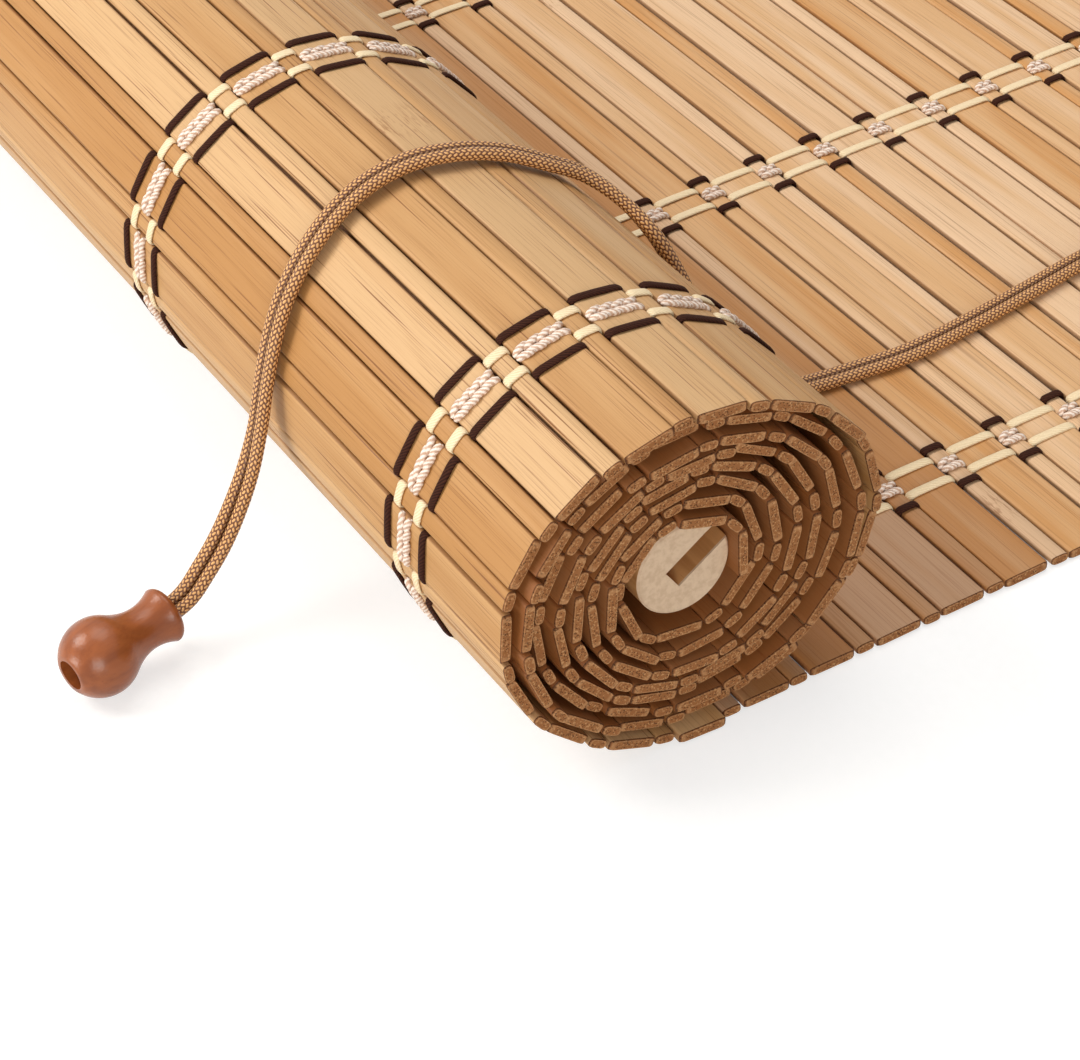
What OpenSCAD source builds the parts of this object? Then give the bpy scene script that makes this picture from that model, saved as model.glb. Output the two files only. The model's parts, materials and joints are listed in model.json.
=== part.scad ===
// Bamboo roll up blind, lying on a table and partly rolled from its lower end.
// X runs along the drop of the mat, Y along the slats, Z is up.

/* [Slat mat] */
// Length of every slat, which is the width of the blind
mat_w = 600; // [480:20:720]
// Width of a broad slat
slat_w = 8.3; // [8:0.1:8.6]
// Width of a narrow stick
stick_w = 3.2; // [2.8:0.1:3.6]
// Thickness of slats and sticks
slat_t = 1.6; // [1.4:0.1:1.7]
// Bevel along the long edges of a slat
slat_bevel = 0.5; // [0.3:0.05:0.6]
// Open gap between a slat and the next stick
slat_gap = 0.5; // [0.4:0.05:0.7]
// Broad slats in the stretch that lies flat
flat_slats = 17; // [15:1:22]

/* [Thread bands] */
// Number of woven bands across the mat
bands = 7; // [5:1:8]
// Distance from the slat ends to the middle of the first band
band_inset = 29; // [20:1:40]
// Distance of the brown threads from the middle of a band
brown_offset = 5.2; // [5:0.1:6]
// Distance of the cream threads from the middle of a band
cream_offset = 2.9; // [2.6:0.1:3.1]
// Width of a brown or cream thread
thread_w = 1.6; // [1.2:0.1:1.8]
// Width of the braid in the middle of a band
braid_w = 3.2; // [2.6:0.1:3.4]
// Height that a thread stands above its slat
thread_h = 0.6; // [0.4:0.05:0.7]
// Thickness of the threads where they cross the gap between slats
web_t = 0.5; // [0.3:0.1:0.6]

/* [Roll] */
// Diameter of the bottom rod inside the roll
rod_d = 16; // [14:0.5:18]
// Length of the slats past the rod at each end
rod_short = 1; // [0:0.5:3]
// Width of the slot sawn along the rod
slot_w = 4; // [3.4:0.1:4.4]
// Depth of the slot past the rod's axis
slot_past_axis = 2.4; // [1:0.2:4]
// Number of turns in the roll
turns = 7.7; // [6.7:1:8.7]
// Loose space between the rod and the innermost turn
roll_play = 1.3; // [1.1:0.1:2]
// Spacing of the turns under the rod
lay_below = 2.64; // [2.5:0.02:3]
// Spacing of the turns above the rod
lay_above = 2.4; // [2.36:0.02:3]
// Spacing of the turns on the outer side
lay_left = 2.72; // [2.5:0.02:3.2]
// Spacing of the turns on the side of the flat mat
lay_right = 3.45; // [2.6:0.05:4]

/* [Head rail] */
// Height of the rail, along the drop
rail_h = 30; // [28:1:40]
// Thickness of the rail
rail_t = 14; // [12:0.5:18]
// Radius along the rail's two upper edges
rail_round = 3; // [1:0.5:4]
// Depth of the rebate that takes the mat's last slats
rebate_l = 13.5; // [10:0.5:16]
// Distance from a rail end to the middle of its hanger
hanger_inset = 38; // [20:1:40]
// Width of a hanger plate
hanger_w = 14; // [12:0.5:20]
// Thickness of a hanger plate
hanger_t = 1.5; // [1:0.1:2.5]
// Length of the hanger that lies on the rail
hanger_seat = 20; // [18:1:26]
// Distance from the rail to the middle of the hanging hole
hole_out = 6; // [5:0.5:10]
// Diameter of the hanging hole
hole_d = 5; // [4:0.5:6]

/* [Cord lock and pulley] */
// Clear space on the rail between a hanger and the lock or pulley beside it
lock_from_hanger = 5.6; // [2:0.2:60]
// Outer diameter of a pulley wheel
wheel_d = 14; // [12:0.5:15]
// Diameter at the bottom of a wheel's groove
groove_d = 10; // [8:0.5:10.5]
// Thickness of a wheel
wheel_t = 5; // [4.5:0.1:6]
// Width of the groove at the rim
groove_w = 3.4; // [3:0.1:3.8]
// Diameter of an axle and of the pawl's pin
axle_d = 3; // [2.5:0.1:3.5]
// Diameter of the head of an axle or pin
axle_head_d = 5; // [4.5:0.5:6]
// Thickness of the bent steel frames
frame_t = 1.2; // [1:0.1:1.6]
// Diameter of a screw
screw_d = 3; // [2.5:0.1:3.2]
// Length of a screw under its head
screw_l = 12; // [8:1:13]
// Diameter of a screw head
screw_head_d = 5.6; // [5:0.1:6]

/* [Pull cord] */
// Diameter of one strand of the pull cord
cord_d = 2.2; // [1.8:0.1:2.2]
// Largest diameter of the knob
knob_d = 13; // [12:0.2:13.2]
// Diameter of the knob's waist
knob_waist_d = 7.4; // [6.8:0.2:8.4]
// Diameter of the knob's flared neck
knob_neck_d = 9.4; // [8.6:0.2:10]
// Length of the knob from the middle of its bulb to its neck's end
knob_reach = 13.7; // [13:0.1:15]

/* [Hidden] */
$fn = 48;

// Clearances: a resting face, a fixed pin in its hole, a turning wheel on its axle
seat_gap = 0.02;
pin_fit = 0.03;
run_fit = 0.05;
side_play = 0.3;
cut_over = 1;

bamboo = "#d9a866";
bamboo_dark = "#c9945a";
rod_wood = "#dcc39a";
rail_wood = "#b98a55";
knob_wood = "#a55c33";
thread_brown = "#3f2821";
thread_cream = "#ecd9a6";
thread_braid = "#e2c9b4";
cord_brown = "#a56f43";
steel = "#b9bcc0";
brass = "#b8964f";

// The mat follows a spiral of oval turns. Angles start under the rod and run over the
// outer side, the top and the inner side, so 360 degrees is one turn further in.
pitch = slat_w + stick_w + 2 * slat_gap;
roll_start = -4;
core_r = rod_d / 2 + roll_play + slat_t / 2;
rod_z = core_r + lay_below * turns + slat_t / 2;

function reach(lay, k) = core_r + lay * (turns - k);
function spiral(a) =
    let (
        k = a / 360,
        left = reach(lay_left, k),
        right = reach(lay_right, k),
        above = reach(lay_above, k),
        below = reach(lay_below, k)
    )
    [
        (right - left) / 2 - (right + left) / 2 * sin(a),
        rod_z + (above - below) / 2 - (above + below) / 2 * cos(a)
    ];
function degrees_for(length, a) = length / norm(spiral(a + 0.5) - spiral(a - 0.5));

// One entry for each slat or stick in the roll: start angle, end angle, width
function lay_slats(i, a) =
    a > 360 * turns ? [] :
    let (
        w = i % 2 == 0 ? slat_w : stick_w,
        b = a + degrees_for(w, a + degrees_for(w, a) / 2)
    )
    concat([[a, b, w]], lay_slats(i + 1, b + degrees_for(slat_gap, b)));
rolled = lay_slats(0, roll_start);

// Points given along and across one rolled slat are moved to its place in the section
function on_slat(slat, points) =
    let (
        p = spiral(slat[0]),
        q = spiral(slat[1]),
        along = (q - p) / norm(q - p),
        out = [-along[1], along[0]]
    )
    [for (c = points) (p + q) / 2 + along * c[0] + out * c[1]];
function face_points(w, side) = [
    [-w / 2, side * web_t / 2],
    [-w / 2 + slat_bevel, side * slat_t / 2],
    [w / 2 - slat_bevel, side * slat_t / 2],
    [w / 2, side * web_t / 2]
];
function backwards(list) = [for (i = [len(list) - 1:-1:0]) list[i]];
function slat_section(w) = concat(face_points(w, 1), backwards(face_points(w, -1)));
function float_section(w, h) = [
    [-w / 2, slat_t / 2 + seat_gap],
    [w / 2, slat_t / 2 + seat_gap],
    [w / 2 - h, slat_t / 2 + h],
    [-w / 2 + h, slat_t / 2 + h]
];
outer_side = [for (s = rolled) each on_slat(s, face_points(s[2], 1))];
inner_side = [for (s = rolled) each on_slat(s, face_points(s[2], -1))];
roll_outline = concat(outer_side, backwards(inner_side));

// Turns of the roll that show their threads, clear of the table and of the flat mat
float_from = 20;
float_to = 325;

// Places along the drop, measured from the rod, then moved so that the middle is at 0
mat_start = spiral(roll_start)[0] + slat_gap / 2;
flat_l = flat_slats * pitch;
rail_from = mat_start + flat_l - rebate_l;
hanger_tip = rail_from + rail_h + hole_out + hanger_w / 2;
roll_left = min([for (p = roll_outline) p[0]]);
middle_x = (roll_left - thread_h + hanger_tip) / 2;
rod_x = -middle_x;
flat_x = mat_start - middle_x;
rail_x = rail_from - middle_x;
band_step = (mat_w - 2 * band_inset) / (bands - 1);
band_ys = [for (i = [0:bands - 1]) -mat_w / 2 + band_inset + i * band_step];
stick_xs = [for (i = [0:flat_slats - 1]) flat_x + i * pitch + slat_gap / 2 + stick_w / 2];
slat_xs = [for (x = stick_xs) x + stick_w / 2 + slat_gap + slat_w / 2];

// The rod lies a little off the roll's middle, towards the flat mat and up
rod_off = [0.2, 0.5];

// Slot in the rod, seen from its near end: the way its mouth points above the flat mat
slot_turn = 33;
tongue_set_back = 25;
tongue_t = slot_w - 2 * side_play;
innermost_slat = sqrt(pow(core_r, 2) - pow(slat_w / 2, 2)) - slat_t / 2;
tongue_room = innermost_slat - norm(rod_off) - seat_gap - side_play;
tongue_out = sqrt(pow(tongue_room, 2) - pow(tongue_t / 2, 2));

// Lock and pulley stand on the rail's front face
base_z = rail_t;
axle_ahead = 13;
axle_x = rail_x + axle_ahead;
frame_front = 3;
frame_back = 27;
frame_past_wheel = 2;
frame_half = wheel_d / 2 + frame_past_wheel;
ear_l = 9;
ear_rim = 1.5;
ear_w = screw_head_d + 2 * ear_rim;
pawl_out = 13.4;
pawl_ahead = -5;
frame_past_pawl = 5;
pawl_side = pawl_out + frame_past_pawl;
pulley_y = mat_w / 2 - hanger_inset - hanger_w / 2 - lock_from_hanger - ear_l - pawl_side;
lock_y = -pulley_y;
function wheel_z(i) = base_z + frame_t + side_play + i * (wheel_t + side_play);
function frame_inner(wheels) = wheels * (wheel_t + side_play) + side_play;
lock_top = base_z + 2 * frame_t + frame_inner(2);
pulley_top = base_z + 2 * frame_t + frame_inner(1);
axle_head_t = 1;
screw_head_t = 1.6;
screw_slot = 0.8;
hanger_screw_at = [5, 14];
near_hanger_y = -mat_w / 2 + hanger_inset;
far_hanger_y = -near_hanger_y;

// Each screw stands on a plate: place of the plate's upper face
screw_places = concat(
    [for (y = [near_hanger_y, far_hanger_y], x = hanger_screw_at)
        [rail_x + rail_h - x, y, rail_t + hanger_t]],
    [for (y = [lock_y - pawl_side - ear_l / 2, lock_y + frame_half + ear_l / 2])
        [axle_x, y, rail_t + frame_t]],
    [for (y = [pulley_y - frame_half - ear_l / 2, pulley_y + frame_half + ear_l / 2])
        [axle_x, y, rail_t + frame_t]]
);

// Places of the pull cord are given beside the lock
function from_lock(p) = p + [0, lock_y, 0];

// Knob: middle of its bulb, and the way its axis points to the neck
knob_at = from_lock([-178, -17.3, 6.6]);
knob_turn = 11.5;
knob_tilt = 2.8;
function knob_axis(along) =
    knob_at + along * [
        cos(knob_tilt) * cos(knob_turn), cos(knob_tilt) * sin(knob_turn), sin(knob_tilt)
    ];

// Route of the pull cord from the lock over the roll to the knob, between its two strands
lead_a = [for (p = [[109.3, -6.3, 18], [102, -6.9, 18], [95, -7.5, 16]]) from_lock(p)];
lead_b = [for (p = [[109.3, -6.3, 23.3], [102, -5.8, 23], [95, -5.2, 20]]) from_lock(p)];
cord_route = concat([for (p = [
    [84, -7, 9], [74, -9, 4.2], [62, -11, 2.8], [46, -13, 2.8], [30, -15, 2.8],
    [16, -16, 2.8], [2, -18, 2.8], [-13, -20, 2.8], [-26, -21, 2.8], [-36, -20, 2.8],
    [-46, -19, 3.2], [-54, -20.5, 6.5], [-61, -22, 13], [-66, -22.5, 21.5], [-69.5, -22, 30],
    [-72, -20, 38], [-74, -17, 44], [-76, -11, 48], [-80, -6, 52], [-86, -4, 55.6],
    [-92, -2, 58.6], [-99, -0.5, 60.7], [-107, 0.7, 61.4], [-115, 0.8, 60.2],
    [-122, -0.4, 57.7], [-128, -2, 54], [-133.5, -4, 49], [-137.5, -6, 43.4],
    [-140.4, -7.2, 36.5], [-142.8, -8.2, 29.8], [-146, -9.6, 23.8], [-149.8, -11.2, 18.9],
    [-153.6, -12.5, 14.8], [-157.4, -13.4, 11.4], [-161, -14.1, 8.6]
]) from_lock(p)], [for (along = [13, 9.5, 5.8]) knob_axis(along)]);
strand_gap = 0.06;
strand_apart = cord_d + strand_gap;

// The strands lie side by side across the mat, and turn towards the front between the roll and the knob
turn_from = 29;
turn_over = 3;
front_side = [-0.75, 0.66, 0];
function lying(i) =
    let (turned = max(0, min(1, (i - turn_from) / turn_over)))
    [0, 1, 0] * (1 - turned) + front_side * turned;
cord_sides = 8;
knob_bore = 4.7;
bulb_bore = 5.1;
bulb_mouth_r = 3.2;
bulb_leave = 124;
neck_round = 1.2;
shoulder_at = 4;
knot_d = 4.9;

module along_slats(length) {
    rotate([90, 0, 0]) linear_extrude(length, center = true) children();
}

module at_bands(offset) {
    for (y = band_ys) translate([0, y + offset, 0]) children();
}

// Turns of the mat round the rod
module rolled_mat() {
    color(bamboo_dark) translate([rod_x, 0, 0])
        along_slats(mat_w) polygon(roll_outline);
}

// Slats of the flat stretch, held together by their threads at each band
module flat_mat() {
    held_w = 2 * brown_offset + thread_w;
    color(bamboo) {
        along_slats(mat_w) {
            for (x = stick_xs) translate([x, slat_t / 2]) polygon(slat_section(stick_w));
            for (x = slat_xs) translate([x, slat_t / 2]) polygon(slat_section(slat_w));
        }
        at_bands(0) translate([flat_x, -held_w / 2, (slat_t - web_t) / 2])
            cube([flat_l, held_w, web_t]);
    }
}

// Stretches of thread that lie over sticks or slats of the flat mat
module flat_floats(xs, w, h) {
    for (x = xs) translate([x, slat_t / 2]) polygon(float_section(w, h));
}

// Stretches of thread that lie over the outside of the roll
module roll_floats(w, h) {
    for (s = rolled)
        if (s[2] == w && s[0] > float_from && s[0] < float_to)
            translate([rod_x, 0]) polygon(on_slat(s, float_section(w, h)));
}

module brown_threads() {
    color(thread_brown) for (side = [-1, 1]) at_bands(side * brown_offset) along_slats(thread_w) {
        flat_floats(stick_xs, stick_w, thread_h);
        roll_floats(slat_w, thread_h);
    }
}

module cream_threads() {
    color(thread_cream) for (side = [-1, 1]) at_bands(side * cream_offset) along_slats(thread_w) {
        flat_floats(slat_xs, slat_w, thread_h);
        roll_floats(stick_w, thread_h);
    }
}

module braid_threads() {
    color(thread_braid) at_bands(0) along_slats(braid_w) {
        flat_floats(stick_xs, stick_w, thread_h);
        roll_floats(slat_w, thread_h);
    }
}

module at_rod() {
    translate([rod_x + rod_off[0], 0, rod_z + rod_off[1]]) children();
}

module bottom_rod() {
    length = mat_w - 2 * rod_short;
    color(rod_wood) at_rod() difference() {
        rotate([90, 0, 0]) cylinder(h = length, d = rod_d, center = true);
        rotate([0, -slot_turn, 0])
            translate([-slot_past_axis, -length / 2 - cut_over, -slot_w / 2])
            cube([rod_d, length + 2 * cut_over, slot_w]);
    }
}

// Strip at the mat's lower end, glued in the rod's slot
module end_slat() {
    length = mat_w - 2 * tongue_set_back;
    color(bamboo_dark) at_rod() rotate([0, -slot_turn, 0])
        translate([-slot_past_axis + side_play, -length / 2, -tongue_t / 2])
        cube([tongue_out + slot_past_axis - side_play, length, tongue_t]);
}

// Wooden rail at the mat's upper end, with a rebate over its last slats
module head_rail() {
    rebate_h = slat_t + thread_h + side_play;
    color(rail_wood) difference() {
        translate([rail_x, 0, 0]) along_slats(mat_w) {
            square([rail_h, rail_t - rail_round]);
            translate([rail_round, 0]) square([rail_h - 2 * rail_round, rail_t]);
            for (x = [rail_round, rail_h - rail_round])
                translate([x, rail_t - rail_round]) circle(rail_round);
        }
        translate([rail_x - cut_over, -mat_w / 2 - cut_over, -cut_over])
            cube([rebate_l + seat_gap + cut_over, mat_w + 2 * cut_over, rebate_h + cut_over]);
        for (p = screw_places)
            translate([p[0], p[1], p[2] - screw_l - side_play])
            cylinder(h = screw_l + cut_over, d = screw_d + 2 * pin_fit);
    }
}

// Plate that lies on the rail, with a round end and a hole to hang it by
module hanger(y) {
    hole_x = rail_h + hole_out;
    color(steel) translate([rail_x, y, rail_t + seat_gap]) difference() {
        union() {
            translate([rail_h - hanger_seat, -hanger_w / 2, 0])
                cube([hanger_seat + hole_out, hanger_w, hanger_t - seat_gap]);
            translate([hole_x, 0, 0]) cylinder(h = hanger_t - seat_gap, d = hanger_w);
        }
        translate([hole_x, 0, -cut_over]) cylinder(h = hanger_t + 2 * cut_over, d = hole_d);
        for (x = hanger_screw_at)
            translate([rail_h - x, 0, -cut_over])
            cylinder(h = hanger_t + 2 * cut_over, d = screw_d + 2 * pin_fit);
    }
}

module hanger_near() { hanger(near_hanger_y); }

module hanger_far() { hanger(far_hanger_y); }

module screw() {
    difference() {
        union() {
            translate([0, 0, -screw_l]) cylinder(h = screw_l, d = screw_d);
            translate([0, 0, seat_gap]) cylinder(h = screw_head_t, d = screw_head_d);
        }
        translate([-screw_head_d / 2, -screw_slot / 2, screw_head_t / 2])
            cube([screw_head_d, screw_slot, screw_head_t]);
    }
}

module mounting_screws() {
    color(steel) for (p = screw_places) translate(p) screw();
}

// Bent frame: base with two screw ears, back wall and top plate. The before and after
// values are its reach on the two sides of the axle.
module pulley_bracket(wheels, before, after, pins) {
    inner_h = frame_inner(wheels);
    depth = frame_back - frame_front;
    height = inner_h + 2 * frame_t;
    color(steel) difference() {
        translate([rail_x + frame_front, -before, base_z + seat_gap]) union() {
            cube([depth, before + after, frame_t - seat_gap]);
            translate([depth - frame_t, 0, 0]) cube([frame_t, before + after, height - seat_gap]);
            translate([0, 0, height - frame_t - seat_gap])
                cube([depth, before + after, frame_t]);
            translate([(depth - ear_w) / 2, -ear_l, 0])
                cube([ear_w, before + after + 2 * ear_l, frame_t - seat_gap]);
        }
        for (p = pins)
            translate([p[0], p[1], base_z - cut_over])
            cylinder(h = height + 2 * cut_over, d = axle_d + 2 * pin_fit);
        for (y = [-before - ear_l / 2, after + ear_l / 2])
            translate([axle_x, y, base_z - cut_over])
            cylinder(h = frame_t + 2 * cut_over, d = screw_d + 2 * pin_fit);
    }
}

// Axle or pin from the rail's face to a head on the frame's top plate
module headed_pin(top) {
    color(brass) {
        translate([0, 0, base_z + seat_gap]) cylinder(h = top - base_z, d = axle_d);
        translate([0, 0, top + seat_gap]) cylinder(h = axle_head_t, d = axle_head_d);
    }
}

// Grooved wheel, its lower face at the given height
module grooved_wheel(z) {
    slope = (wheel_d - groove_d) / 2;
    bore_r = axle_d / 2 + run_fit;
    color(brass) translate([axle_x, 0, z]) rotate_extrude() polygon([
        [bore_r, 0],
        [wheel_d / 2, 0],
        [wheel_d / 2, (wheel_t - groove_w) / 2],
        [groove_d / 2, wheel_t / 2 - groove_w / 2 + slope / 4],
        [groove_d / 2, wheel_t / 2 + groove_w / 2 - slope / 4],
        [wheel_d / 2, (wheel_t + groove_w) / 2],
        [wheel_d / 2, wheel_t],
        [bore_r, wheel_t]
    ]);
}

pawl_x = axle_x + pawl_ahead;
pawl_y = lock_y - pawl_out;

module lock_frame() {
    translate([0, lock_y, 0])
        pulley_bracket(2, pawl_side, frame_half, [[axle_x, 0], [pawl_x, -pawl_out]]);
}

module lock_axle() { translate([axle_x, lock_y, 0]) headed_pin(lock_top); }

module lock_wheel_lower() { translate([0, lock_y, 0]) grooved_wheel(wheel_z(0)); }

module lock_wheel_upper() { translate([0, lock_y, 0]) grooved_wheel(wheel_z(1)); }

// Eccentric pawl that pinches the cords against the wheels, with a finger tail
module lock_pawl() {
    pawl_h = frame_inner(2) - 2 * side_play;
    nose_r = 3.6;
    nose_out = 1.2;
    tail_r = 1.5;
    tail = [-7.5, -1.8];
    blend_low = 0.4;
    blend_high = 1;
    color(steel) translate([pawl_x, pawl_y, wheel_z(0)]) difference() {
        union() {
            translate([0, nose_out, 0]) cylinder(h = pawl_h, r = nose_r);
            linear_extrude(pawl_h) polygon([
                [0, nose_out - nose_r + blend_low], [tail[0], tail[1] - tail_r],
                [tail[0], tail[1] + tail_r], [-blend_high, nose_out + nose_r - blend_high]
            ]);
            translate([tail[0], tail[1], 0]) cylinder(h = pawl_h, r = tail_r);
        }
        translate([0, 0, -cut_over])
            cylinder(h = pawl_h + 2 * cut_over, d = axle_d + 2 * run_fit);
    }
}

module pawl_pin() { translate([pawl_x, pawl_y, 0]) headed_pin(lock_top); }

module pulley_frame() {
    translate([0, pulley_y, 0]) pulley_bracket(1, frame_half, frame_half, [[axle_x, 0]]);
}

module pulley_axle() { translate([axle_x, pulley_y, 0]) headed_pin(pulley_top); }

module pulley_wheel() { translate([0, pulley_y, 0]) grooved_wheel(wheel_z(0)); }

// Frame of one ring on a route
function unit(v) = v / norm(v);
function heading(path, i) = unit(path[min(i + 1, len(path) - 1)] - path[max(i - 1, 0)]);
function beside(t, way = [0, 1, 0]) = unit(way - t * (t * way));
function tube_ring(p, t, d) =
    let (u = beside(t), v = cross(t, u))
    [for (s = [0:cord_sides - 1])
        p + d / 2 * (u * cos(s * 360 / cord_sides) + v * sin(s * 360 / cord_sides))];

// Tube with one ring at each point of the path and flat ends
module cord_tube(path, d) {
    n = len(path);
    points = [for (i = [0:n - 1]) each tube_ring(path[i], heading(path, i), d)];
    sides = [for (i = [0:n - 2], s = [0:cord_sides - 1])
        let (a = i * cord_sides, b = a + cord_sides, e = (s + 1) % cord_sides)
        each [[a + s, a + e, b + e], [a + s, b + e, b + s]]];
    near_end = [[for (s = [cord_sides - 1:-1:0]) s]];
    far_end = [[for (s = [0:cord_sides - 1]) (n - 1) * cord_sides + s]];
    polyhedron(points, concat(sides, near_end, far_end), convexity = 6);
}

function strand_path(lead, side) = concat(lead, [
    for (i = [0:len(cord_route) - 1])
        cord_route[i] + beside(heading(cord_route, i), lying(i)) * side * strand_apart / 2
]);

module cord_strand_a() { color(cord_brown) cord_tube(strand_path(lead_a, -1), cord_d); }

module cord_strand_b() { color(cord_brown) cord_tube(strand_path(lead_b, 1), cord_d); }

// Knob along +X in its own frame: round bulb, waist and flared neck where the cord enters
module in_knob() {
    translate(knob_at) rotate([0, -knob_tilt, knob_turn]) rotate([0, 90, 0]) children();
}

module pull_knob() {
    bulb_r = knob_d / 2;
    neck_r = knob_neck_d / 2;
    waist_r = knob_waist_d / 2;
    join_r = bulb_r * sin(bulb_leave);
    join_z = -bulb_r * cos(bulb_leave);
    throat_l = knob_reach - neck_round - join_z;
    pinch_r = waist_r - sqrt((join_r - waist_r) * (neck_r - waist_r));
    bulb = [for (t = [asin(bulb_mouth_r / bulb_r) : 6 : bulb_leave])
        [bulb_r * sin(t), -bulb_r * cos(t)]];
    throat = [for (u = [0.1:0.1:1])
        [
            pinch_r + pow(1 - u, 2) * (join_r - pinch_r) + pow(u, 2) * (neck_r - pinch_r),
            join_z + u * throat_l
        ]];
    lip = [for (t = [15:15:90])
        [neck_r - neck_round * (1 - cos(t)), knob_reach - neck_round * (1 - sin(t))]];
    color(knob_wood) in_knob() difference() {
        rotate_extrude() polygon(concat([[0, bulb[0][1]]], bulb, throat, lip, [[0, knob_reach]]));
        translate([0, 0, -knob_d]) cylinder(h = knob_d + shoulder_at, d = bulb_bore);
        cylinder(h = knob_reach + cut_over, d = knob_bore);
    }
}

// Stopper knot that holds the knob, against the step in its bore
module cord_knot() {
    drop = sqrt(pow(knot_d, 2) - pow(knob_bore, 2)) / 2 + 2 * seat_gap;
    color(cord_brown) in_knob() translate([0, 0, shoulder_at - drop]) sphere(d = knot_d);
}

rolled_mat();
flat_mat();
brown_threads();
cream_threads();
braid_threads();
bottom_rod();
end_slat();
head_rail();
hanger_near();
hanger_far();
mounting_screws();
lock_frame();
lock_axle();
lock_wheel_lower();
lock_wheel_upper();
lock_pawl();
pawl_pin();
pulley_frame();
pulley_axle();
pulley_wheel();
cord_strand_a();
cord_strand_b();
pull_knob();
cord_knot();
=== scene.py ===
"""Looks of a bamboo roll up blind: woven slats, thread bands, rod, pull cord, knob and rail hardware.

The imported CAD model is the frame. Each class below builds one sub-assembly on it from a few driving
sizes in metres, as whole-array surfaces, and gives it procedural finishes.
"""

from __future__ import annotations

import json
import logging
import math
from dataclasses import dataclass, field, replace
from enum import Enum

import bpy
import numpy as np
from mathutils import Matrix, Vector

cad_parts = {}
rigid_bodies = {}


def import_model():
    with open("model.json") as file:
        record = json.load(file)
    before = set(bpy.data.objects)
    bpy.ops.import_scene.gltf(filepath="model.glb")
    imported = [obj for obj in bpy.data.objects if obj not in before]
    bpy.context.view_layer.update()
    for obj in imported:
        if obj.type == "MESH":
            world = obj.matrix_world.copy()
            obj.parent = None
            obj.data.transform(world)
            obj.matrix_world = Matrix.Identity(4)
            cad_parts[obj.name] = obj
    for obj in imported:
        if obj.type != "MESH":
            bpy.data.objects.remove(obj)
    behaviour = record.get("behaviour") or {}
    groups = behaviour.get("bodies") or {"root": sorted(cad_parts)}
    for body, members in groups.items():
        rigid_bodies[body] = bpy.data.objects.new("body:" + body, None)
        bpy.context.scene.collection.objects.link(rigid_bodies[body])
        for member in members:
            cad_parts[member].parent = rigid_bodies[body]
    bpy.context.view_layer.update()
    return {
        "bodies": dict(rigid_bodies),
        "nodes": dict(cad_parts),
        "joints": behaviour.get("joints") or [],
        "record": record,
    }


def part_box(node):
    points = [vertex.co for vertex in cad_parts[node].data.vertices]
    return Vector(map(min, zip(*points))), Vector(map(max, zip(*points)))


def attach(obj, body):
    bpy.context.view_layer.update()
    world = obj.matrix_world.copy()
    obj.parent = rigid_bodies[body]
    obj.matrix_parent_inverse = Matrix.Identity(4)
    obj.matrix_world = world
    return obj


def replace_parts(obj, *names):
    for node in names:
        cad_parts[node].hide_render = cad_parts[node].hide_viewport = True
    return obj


LOG = logging.getLogger("blind")
MM = 0.001
ROOT = "blind"
Triple = tuple[float, float, float]
Colour = Triple


def linear(red: float, green: float, blue: float) -> tuple[float, float, float, float]:
    """Turns a screen colour into the linear colour that shaders use.

    Args:
        red: Red from 0 to 255.
        green: Green from 0 to 255.
        blue: Blue from 0 to 255.

    Returns:
        Linear red, green, blue and an alpha of 1.
    """
    screen = np.array([red, green, blue], float) / 255
    low, high = screen / 12.92, ((screen + 0.055) / 1.055) ** 2.4
    out = np.where(screen <= 0.04045, low, high)
    return float(out[0]), float(out[1]), float(out[2]), 1.0


def unit(vectors: np.ndarray) -> np.ndarray:
    """Scales the vectors on an array's last axis to length 1."""
    return vectors / np.linalg.norm(vectors, axis=-1, keepdims=True)


def rounded(angle: np.ndarray, power: float | np.ndarray) -> tuple[np.ndarray, np.ndarray]:
    """Gives points of a superellipse: signed cosine and sine, each raised to 2 over the power.

    Args:
        angle: Angles around the section, in radians.
        power: 2 for an ellipse, larger for a squarer section.

    Returns:
        Across and up places, each from -1 to 1.
    """
    cos, sin = np.cos(angle), np.sin(angle)
    across = np.sign(cos) * np.abs(cos) ** (2 / power)
    up = np.sign(sin) * np.abs(sin) ** (2 / power)
    return across, up


def seen_rays(tree: bpy.types.NodeTree) -> bpy.types.NodeSocket:
    """Gives 1 for the rays that show a surface: straight to the camera, mirrored or through glass.

    Args:
        tree: Nodes of a material or of the surround.

    Returns:
        Socket with 1 for such rays and 0 for those that only carry light.
    """
    path = tree.nodes.new("ShaderNodeLightPath")
    seen = path.outputs["Is Camera Ray"]
    for kind in ("Is Glossy Ray", "Is Transmission Ray"):
        larger = tree.nodes.new("ShaderNodeMath")
        larger.operation = "MAXIMUM"
        tree.links.new(seen, larger.inputs[0])
        tree.links.new(path.outputs[kind], larger.inputs[1])
        seen = larger.outputs[0]
    return seen


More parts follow.
